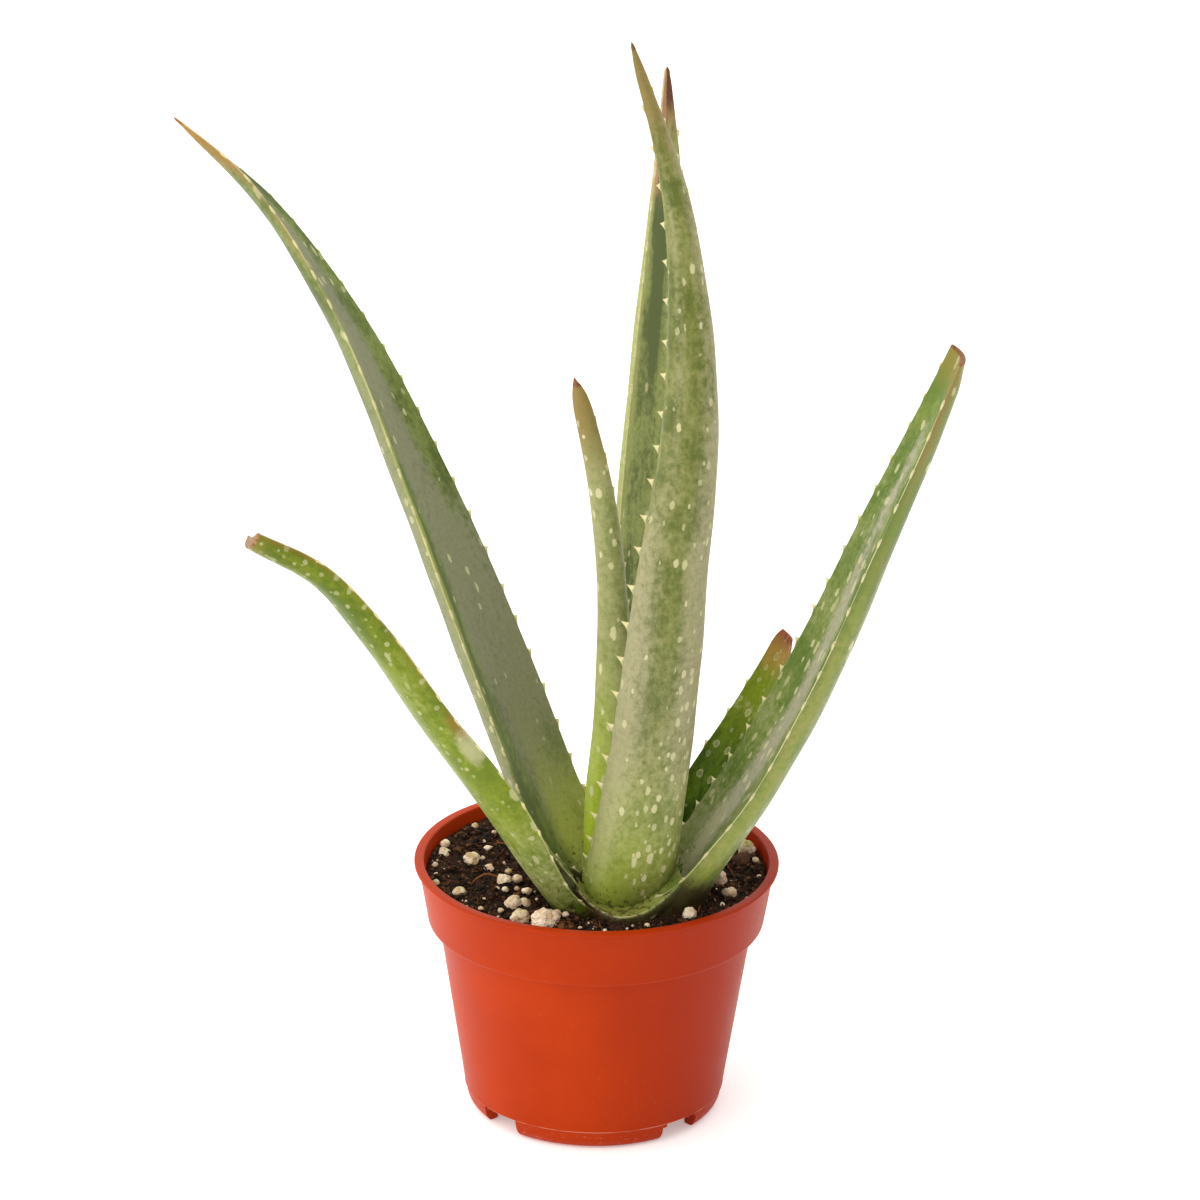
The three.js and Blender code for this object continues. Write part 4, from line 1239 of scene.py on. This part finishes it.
def peat_finish():
    f = Finish("dark_peat", Specular_IOR_Level=0.2)
    body = f.node("TexCoord", "Object")
    clumps = f.cloud(body, 330.0, 6.0, 0.7)
    strands = f.cloud(f.stretch(body, 1, 3.5, 2), 420.0, 3.0, 0.7)
    bits = f.node("TexVoronoi", "Color", Vector=body, Scale=1500.0)
    tone = f.node("SeparateColor", Color=bits)
    dark = f.mix(f.rise(clumps, 0.38, 0.7), paint(0x0E0704), paint(0x3C2412))
    colour = f.mix(f.times(f.rise(strands, 0.56, 0.67), 0.5), dark, PEAT_FIBRE)
    colour = f.mix(f.rise(tone, 0.92, 0.99, 0, 0.6), colour, PEAT_BIT)
    colour = f.mix(f.rise(f.mark("shade"), 0.55, 1.0, 0, 0.85), colour, PEAT_BARK)
    f.shade(Base_Color=colour, Roughness=0.92, Normal=f.bump(clumps, 1.2 * MM, 0.9))
    return f.material


peat = peat_finish()
make_piece("soil_bed", soil_points, soil_faces, peat, ["soil"])

# %% [markdown]
# ## Crumbs, fibres and grains
# Crumbs are small lumpy icosahedra with random stretch and turn, most of them dark and many flat as
# flakes. They are one mesh, since thousands of separate objects would only slow the file down. Fibres
# are thin bent tubes that lie on the peat, and a few golden twigs lie where the real pot has them.
# A fixed seed keeps every one in its place each time the file runs.

# %% A ball of any fineness


def fine_ball(subdivisions):
    """Points and faces of an icosphere of radius 1."""
    seedling = bmesh.new()
    bmesh.ops.create_icosphere(seedling, subdivisions=subdivisions, radius=1.0)
    points = np.array([v.co[:] for v in seedling.verts])
    faces = np.array([[v.index for v in face.verts] for face in seedling.faces])
    seedling.free()
    return points, faces


CRUMB_POINTS, CRUMB_FACES = fine_ball(1)
print("points of a crumb:", len(CRUMB_POINTS))

# %% Scatter the crumbs
draw = np.random.default_rng(41)
SMALL_CRUMBS = dict(count=5000, sizes=(0.2, 1.1), flat=0.25, sink=0.05)
LARGE_CRUMBS = dict(count=420, sizes=(0.9, 2.3), flat=0.35, sink=-0.15)


def any_turn():
    """A random rotation."""
    spin, _ = np.linalg.qr(draw.normal(size=(3, 3)))
    return spin


def scatter(count, sizes, flat, sink):
    """Lumpy grains on the soil: points, faces and a shade for each point."""
    points, faces, shades = [], [], []
    for _ in range(count):
        r, turn = soil_radius * math.sqrt(draw.random()), 2 * math.pi * draw.random()
        x, y = r * math.cos(turn), r * math.sin(turn)
        size = blend(*sizes, draw.random() ** 2.5)
        if math.hypot(x, y) + size > soil_radius:
            continue
        stretch = size * np.array([1, 0.6 + 0.4 * draw.random(), flat + 0.3 * draw.random()])
        lump = CRUMB_POINTS * (0.55 + 0.8 * draw.random((len(CRUMB_POINTS), 1))) * stretch
        lump = lump @ any_turn().T
        faces.append(CRUMB_FACES + len(CRUMB_POINTS) * len(points))
        points.append(lump + [x, y, soil_level(x, y) + sink * size])
        shades.append(np.full(len(CRUMB_POINTS), draw.random()))
    return np.concatenate(points), np.concatenate(faces).tolist(), np.concatenate(shades)


points, faces, shades = scatter(**SMALL_CRUMBS)
more_points, more_faces, more_shades = scatter(**LARGE_CRUMBS)
faces += [[corner + len(points) for corner in face] for face in more_faces]
# A power of an even draw leaves most crumbs dark and a few rusty.
shades = np.concatenate([shades**3.2, more_shades**5])
make_piece("soil_crumbs", np.concatenate([points, more_points]), faces, peat,
           marks={"shade": shades})

# %% One fibre
FIBRE_STEPS, FIBRE_SIDES = 7, 5
FIBRE_WANDER = 0.28
WALL_CLEARANCE = 0.6


def fibre(start, heading, length, thick, lift):
    """A thin bent tube lying on the soil, its ends pointed, or None where it would touch the pot."""
    line = []
    x, y = start
    for k in range(FIBRE_STEPS + 1):
        z = soil_level(x, y) + thick + lift * math.sin(math.pi * k / FIBRE_STEPS)
        line.append((x, y, z))
        heading += draw.normal() * FIBRE_WANDER
        x += math.cos(heading) * length / FIBRE_STEPS
        y += math.sin(heading) * length / FIBRE_STEPS
    if max(math.hypot(px, py) for px, py, _ in line) > soil_radius - WALL_CLEARANCE:
        return None
    line = np.array(line)
    along = np.gradient(line, axis=0)
    side = np.cross(along, [0, 0, 1])
    side /= np.linalg.norm(side, axis=1)[:, None]
    girth = thick * np.sin(np.pi * (0.12 + 0.76 * np.linspace(0, 1, FIBRE_STEPS + 1)))[:, None]
    turns = np.arange(FIBRE_SIDES) * 2 * np.pi / FIBRE_SIDES
    rings = np.stack([line + girth * (math.cos(t) * side + math.sin(t) * np.array([0, 0, 1.0]))
                      for t in turns], axis=1)
    index = np.arange((FIBRE_STEPS + 1) * FIBRE_SIDES).reshape(FIBRE_STEPS + 1, FIBRE_SIDES)
    after = np.roll(index, -1, axis=1)
    faces = np.stack([index[:-1], after[:-1], after[1:], index[1:]], axis=2).reshape(-1, 4).tolist()
    return rings.reshape(-1, 3), faces + [index[0][::-1].tolist(), index[-1].tolist()]


# %% Lay the twigs and fibres
FIBRE_COUNT, LONG_SHARE = 620, 0.1
TWIG_SHADE = 0.95
# Twigs: where one starts, where it points in degrees, its length, half thickness and rise in mm.
TWIGS = [(-44.5, 21, -70, 18, 0.3, 1.2), (-36, -11, 38, 10, 0.45, 0.7), (-41.6, 21.3, 24, 5, 0.3, 0.9),
         (12.6, -32.4, 8, 7, 0.22, 2.4), (-15, -16, -80, 5, 0.3, 1.5), (-12.5, -19, -60, 4, 0.25, 1.2),
         (29, -28, 60, 6, 0.3, 1.2), (-30, 16, -30, 7, 0.3, 0.8), (39, -3, 80, 6, 0.25, 0.7)]
laid = [fibre((x, y), math.radians(turn), length, thick, lift) for x, y, turn, length, thick, lift in TWIGS]
shades = [TWIG_SHADE] * len(laid)
for _ in range(FIBRE_COUNT):
    turn, r = 2 * math.pi * draw.random(), soil_radius * math.sqrt(draw.random())
    is_long = draw.random() < LONG_SHARE
    laid.append(fibre((r * math.cos(turn), r * math.sin(turn)), 2 * math.pi * draw.random(),
                      6 + 8 * draw.random() if is_long else 1.5 + 3.5 * draw.random(),
                      0.16 + 0.12 * draw.random() if is_long else 0.07 + 0.08 * draw.random(),
                      1.1 * draw.random()))
    shades.append(0.2 + 0.7 * draw.random())
kept = [(*made, shade) for made, shade in zip(laid, shades) if made]
starts = np.cumsum([0] + [len(points) for points, _, _ in kept]).tolist()
faces = [[corner + start for corner in face]
         for (_, tube, _), start in zip(kept, starts) for face in tube]
shades = [np.full(len(points), shade) for points, _, shade in kept]
make_piece("soil_fibres", np.concatenate([points for points, _, _ in kept]), faces, peat,
           marks={"shade": np.concatenate(shades)})

# %% [markdown]
# ## Pumice and perlite
# The pale grains keep the mix open. They are rounded, chalky and full of pores, some stained by
# algae. Each one starts as a fine ball and every point moves in or out by noise: slow noise for the
# lumpy form, and the distance to Voronoi points for the pores. A displacement modifier could do the
# same, but the noise in Python gives each grain its own seed. Specks too small to be solids of their
# own are scattered the same way as the crumbs.

# %% The finish of the grains
PORE_BROWN, DOWNWARD_BROWN, ALGAE_GREEN = paint(0x5E3E26), paint(0x7A5030), paint(0x96942E)


def pumice_finish():
    f = Finish("pale_pumice", Specular_IOR_Level=0.3, Subsurface_Weight=0.08, Subsurface_Scale=1 * MM)
    body = f.node("TexCoord", "Object")
    pores = f.node("TexVoronoi", "Distance", Vector=body, Scale=1500.0)
    stain = f.cloud(body, 420.0, 4.0, 0.6)
    chalk = f.mix(f.rise(stain, 0.38, 0.66), paint(0xF0DCC2), paint(0xD4AE8A))
    pits = f.times(f.rise(pores, 0.16, 0.05), f.rise(stain, 0.4, 0.6, 0.15, 0.75))
    colour = f.mix(pits, chalk, PORE_BROWN)
    facing_up = f.node("SeparateXYZ", 2, Vector=f.node("NewGeometry", "Normal"))
    # Faces that look down are mixed towards brown.
    colour = f.mix(f.rise(facing_up, 0.1, -0.6, 0, 0.6), colour, DOWNWARD_BROWN)
    green = f.times(f.mark("shade"), f.rise(stain, 0.3, 0.6))
    colour = f.mix(f.times(green, 0.9), colour, ALGAE_GREEN)
    f.shade(Base_Color=colour, Roughness=0.88, Normal=f.bump(pores, 0.3 * MM, 0.5))
    return f.material


pumice = pumice_finish()

# %% The twelve large grains
# Noise on a grain: its height as a share of the radius, and how fine it is.
LUMP_NOISE = ((0.26, 1), (0.1, 2.3), (0.07, 6))
PORE_DEPTH, PORE_WIDTH, PORES_PER_MM = 0.1, 0.28, 0.85
FINE_RADIUS = 3
# Each grain by its place and radius in mm, how tall it is for its width, and how green on top.
LUMPS = [
    (-14.5, -38, 4, 0.8, 0.1), (-21.5, -35, 2.5, 0.9, 0.55), (-23.5, -26, 2.4, 0.8, 0.2),
    (-36, 3.5, 2.3, 0.9, 0.5), (-39, -18.5, 1.9, 0.9, 0.45), (-26.5, -12, 2.2, 0.8, 0.1),
    (26.5, -32.5, 1.9, 1.1, 0.05), (34.5, -9.5, 2.8, 1.2, 0.1), (38, -17.5, 1.9, 1, 0.25),
    (43.5, 14.5, 2.6, 0.9, 1.0), (-44, 9.5, 1.7, 0.9, 0.6), (-31, -0.5, 1.6, 0.8, 0.0),
]


def lumpy(ball, radius, tall, seed):
    """A ball's points moved in and out: lumps, flats and pores."""
    moved = []
    for p in ball:
        way = Vector(p).normalized()
        at = way * 1.15 + Vector((seed, 0, 0))
        form = sum(high * noise.noise(at * fine) for high, fine in LUMP_NOISE)
        nearest = noise.voronoi(way * radius * PORES_PER_MM + Vector((0, seed, 0)))[0][0]
        pore = PORE_DEPTH * max(0, 1 - nearest / PORE_WIDTH) ** 1.5
        moved.append(way * radius * (1 + form - pore))
    return np.array([p[:] for p in moved]) * [1, 1, tall]


for k, (x, y, radius, tall, green) in enumerate(LUMPS):
    ball, faces = fine_ball(6 if radius > FINE_RADIUS else 5)
    grain = lumpy(ball, radius, tall, 3.7 * k + 1)
    top = np.clip(grain[:, 2] / (radius * tall), 0, 1) * green
    grain += [x, y, soil_level(x, y, False) + 0.35 * radius * tall]
    make_piece(f"pumice_grain_{k + 1:02d}", grain, faces.tolist(), pumice,
               [f"pumice_{k + 1:02d}"], {"shade": top})

# %% The small grains
# Each small grain by its place, its radius in mm and how green it is.
SMALL_GRAINS = [
    (-46.5, 1.3, 0.9, 0.5), (-46, -4.3, 0.7, 0), (-46, -11.6, 1.1, 0.8), (-44, 15.2, 1.4, 0.2),
    (-33, 6.2, 0.8, 0.1), (-31.6, 10.2, 1.1, 0), (-32.8, 18, 0.6, 0), (-35.6, 28.4, 1, 0.5),
    (-25.3, -4, 1, 0.9), (-22.7, -10, 1.5, 0), (-26.1, -17.2, 1.1, 0), (-28.3, -17.3, 0.8, 0.4),
    (-22.7, -14.8, 0.8, 0), (-19.8, -18.1, 1.5, 0.1), (-32, -20.8, 0.6, 0.1), (-20.4, -25.6, 1.9, 0.1),
    (-27, -30.6, 0.9, 0.2), (-32.7, -28.4, 0.8, 0.3), (-36.7, -28.3, 0.7, 0.3), (-10.9, -33.4, 1.4, 0.1),
    (-8.6, -34.6, 1, 0), (-11.4, -27.5, 0.8, 0.1), (2.6, -42.6, 0.7, 0), (-4.4, -41.9, 0.6, 0),
    (46, 7, 1.1, 0.1), (42.5, 20, 1, 0), (39.3, -15.5, 0.9, 0), (36, -24.7, 0.7, 0), (14.6, -38, 0.9, 0),
    (43, -19, 0.5, 0), (9, -41, 0.5, 0), (-38, 8, 0.6, 0), (-22, 34, 1.5, 0.1), (-8, 41, 1, 0),
    (3, 33, 1.7, 0.2), (17, 38, 0.8, 0), (27, 27, 1.3, 0.1), (33, 30, 0.7, 0), (-30, 24, 0.7, 0),
    (-13, 28, 0.8, 0.1), (35, 12, 0.9, 0),
]
SMALL_TALL = 0.85
ball, ball_faces = fine_ball(3)
points, faces, shades = [], [], []
for k, (x, y, radius, green) in enumerate(SMALL_GRAINS):
    grain = lumpy(ball, radius, SMALL_TALL, 5.3 * k + 2)
    faces += (ball_faces + len(ball) * k).tolist()
    shades.append(np.clip(grain[:, 2] / radius, 0, 1) * green)
    points.append(grain + [x, y, soil_level(x, y) + 0.45 * radius])
make_piece("pumice_small", np.concatenate(points), faces, pumice,
           marks={"shade": np.concatenate(shades)})

# %% Bark chips and specks
BARK_SHADE = 0.68
PUMICE_SPECKS = dict(count=150, sizes=(0.2, 0.75), flat=0.7, sink=0.25)
# Chips lie flat: place, half length, half width and half thickness in mm, and turn in degrees.
BARK_CHIPS = [(41.8, 7.5, 4.2, 2.6, 0.8, 75), (-40, 12.5, 2.2, 1.1, 0.4, 40),
              (-17.5, -31, 1.8, 0.9, 0.4, 10), (24.5, -36, 1.7, 0.9, 0.5, -30),
              (-5, 37, 2.8, 1.4, 0.5, 120), (20, 31, 2.2, 1.2, 0.5, 15)]
points, faces = [], []
for k, (x, y, long_side, wide, thick, turn) in enumerate(BARK_CHIPS):
    chip = lumpy(ball, 1.0, 1.0, 4.1 * k + 9) * [long_side, wide, thick]
    chip = chip @ np.array(Matrix.Rotation(math.radians(-turn), 3, "Z"))
    faces += (ball_faces + len(ball) * k).tolist()
    points.append(chip + [x, y, soil_level(x, y) + 0.5])
make_piece("bark_chips", np.concatenate(points), faces, peat,
           marks={"shade": np.full(len(points) * len(ball), BARK_SHADE)})
points, faces, shades = scatter(**PUMICE_SPECKS)
make_piece("pumice_specks", points, faces, pumice, marks={"shade": shades**3 * 0.6})

# %% [markdown]
# ## The rootstock
# Almost all of the rootstock is wrapped in leaf bases or buried. A finer skin would never be seen, so
# the CAD solid stays as it is and only gets its finish: a dull olive brown, dirty and a little ribbed.

# %% Dress the rootstock


def rootstock_finish():
    f = Finish("rootstock_skin")
    body = f.node("TexCoord", "Object")
    ribs = f.cloud(f.stretch(body, 1, 1, 4), 300.0, 4.0, 0.6)
    colour = f.mix(f.rise(ribs, 0.35, 0.65), paint(0x4C4420), paint(0x7E7A3C))
    f.shade(Base_Color=colour, Roughness=0.75, Normal=f.bump(ribs, 0.6 * MM, 0.7))
    return f.material


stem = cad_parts["stem"]
stem.data.materials.clear()
stem.data.materials.append(rootstock_finish())
print("rootstock finish:", stem.data.materials[0].name)

# %% [markdown]
# ## The studio
# The plant was shot in a light box: a white floor that runs out of sight, light from all round that
# is strongest from behind and above, and a soft key from the left front that gives the pot its
# gradient. Area lamps would show as bright squares in the waxy leaves. So the world colour changes
# with direction to do the first, and a broad sun does the second.

# %% The light box
BRIGHT_SIDE = (-0.35, 0.85, 0.4)
LEAST_LIGHT, MOST_LIGHT = 0.4, 1.45
BOX_WHITE = (1.0, 0.99, 0.97, 1.0)


def light_box():
    """A world that is brighter the more a direction looks to the bright side."""
    world = bpy.data.worlds.new("light_box")
    world.use_nodes = True
    tree = world.node_tree
    backing = tree.nodes["Background"]
    way = tree.nodes.new("ShaderNodeTexCoord").outputs["Generated"]
    tilt = tree.nodes.new("ShaderNodeVectorMath")
    tilt.operation = "DOT_PRODUCT"
    tree.links.new(way, tilt.inputs[0])
    tilt.inputs[1].default_value = BRIGHT_SIDE
    bright = tree.nodes.new("ShaderNodeMapRange")
    bright.interpolation_type = "SMOOTHSTEP"
    steps = {"From Min": -0.8, "From Max": 0.7, "To Min": LEAST_LIGHT, "To Max": MOST_LIGHT}
    for name, value in steps.items():
        bright.inputs[name].default_value = value
    tree.links.new(tilt.outputs["Value"], bright.inputs["Value"])
    tree.links.new(bright.outputs[0], backing.inputs["Strength"])
    backing.inputs["Color"].default_value = BOX_WHITE
    return world


bpy.context.scene.world = light_box()
bpy.context.scene.view_settings.view_transform = "Standard"
print("world:", bpy.context.scene.world.name)

# %% The key light
KEY_FROM = Vector((-0.75, -0.6, 1.05))
KEY_STRENGTH, KEY_SPREAD = 1.35, math.radians(80)
KEY_WHITE = (1.0, 0.985, 0.955)
key = bpy.data.lights.new("key", "SUN")
key.energy, key.angle = KEY_STRENGTH, KEY_SPREAD
key.color = KEY_WHITE
key_light = bpy.data.objects.new("key", key)
key_light.rotation_euler = KEY_FROM.to_track_quat("Z", "Y").to_euler()
bpy.context.scene.collection.objects.link(key_light)
print("key light strength:", key.energy)

# %% The floor
# It lies a hair below the pot's feet, so that the two faces don't fight for the same place.
FLOOR_REACH, FLOOR_DROP = 9, 0.4 * MM
floor_finish = Finish("white_floor", Roughness=0.9, Specular_IOR_Level=0.1, Emission_Strength=0.3,
                      Emission_Color=(1.0, 1.0, 1.0, 1.0))
paper = floor_finish.cloud(floor_finish.node("TexCoord", "Object"), 3.0, 2.0)
floor_finish.shade(Base_Color=floor_finish.mix(paper, (0.93, 0.93, 0.925, 1), (0.95, 0.95, 0.945, 1)))
floor_mesh = bpy.data.meshes.new("floor")
corners = [(x * FLOOR_REACH, y * FLOOR_REACH, -FLOOR_DROP) for x, y in ((-1, -1), (1, -1), (1, 1), (-1, 1))]
floor_mesh.from_pydata(corners, [], [(0, 1, 2, 3)])
floor_mesh.materials.append(floor_finish.material)
floor = bpy.data.objects.new("floor", floor_mesh)
bpy.context.scene.collection.objects.link(floor)
print("floor across, in m:", 2 * FLOOR_REACH)

# %% [markdown]
# ## The camera
# The rim, the collar and the foot of the pot are circles, and how flat their ellipses look gives the
# camera: it looks down by 22 degrees from two metres off, through a long lens, and is turned by less
# than a degree. A near camera with a short lens would show the same plant with a wider rim.

# %% Place the camera
TILT, ROLL = math.radians(22), math.radians(0.75)
TARGET_HEIGHT, DISTANCE = 155.1, 2000
FOCAL_PIXELS, FRAME_PIXELS, SENSOR = 7052, 1200, 36

ahead = Vector((0, math.cos(TILT), -math.sin(TILT)))
level = Vector((1, 0, 0))
above = level.cross(ahead)
right = level * math.cos(ROLL) + above * math.sin(ROLL)
up = above * math.cos(ROLL) - level * math.sin(ROLL)
camera_data = bpy.data.cameras.new("camera")
camera_data.sensor_width = SENSOR
camera_data.lens = FOCAL_PIXELS / FRAME_PIXELS * SENSOR
camera_data.clip_end = 60
camera = bpy.data.objects.new("camera", camera_data)
target = Vector(pot_axis) + Vector((0, 0, TARGET_HEIGHT * MM))
place = Matrix((right, up, -ahead)).transposed().to_4x4()
place.translation = target - ahead * DISTANCE * MM
camera.matrix_world = place
bpy.context.scene.collection.objects.link(camera)
bpy.context.scene.camera = camera
print("lens in mm:", round(camera_data.lens, 1))

# %% [markdown]
# ## The end
# The view layer is updated once more, so that every piece stands where it was put.

# %% Update the view layer
bpy.context.view_layer.update()
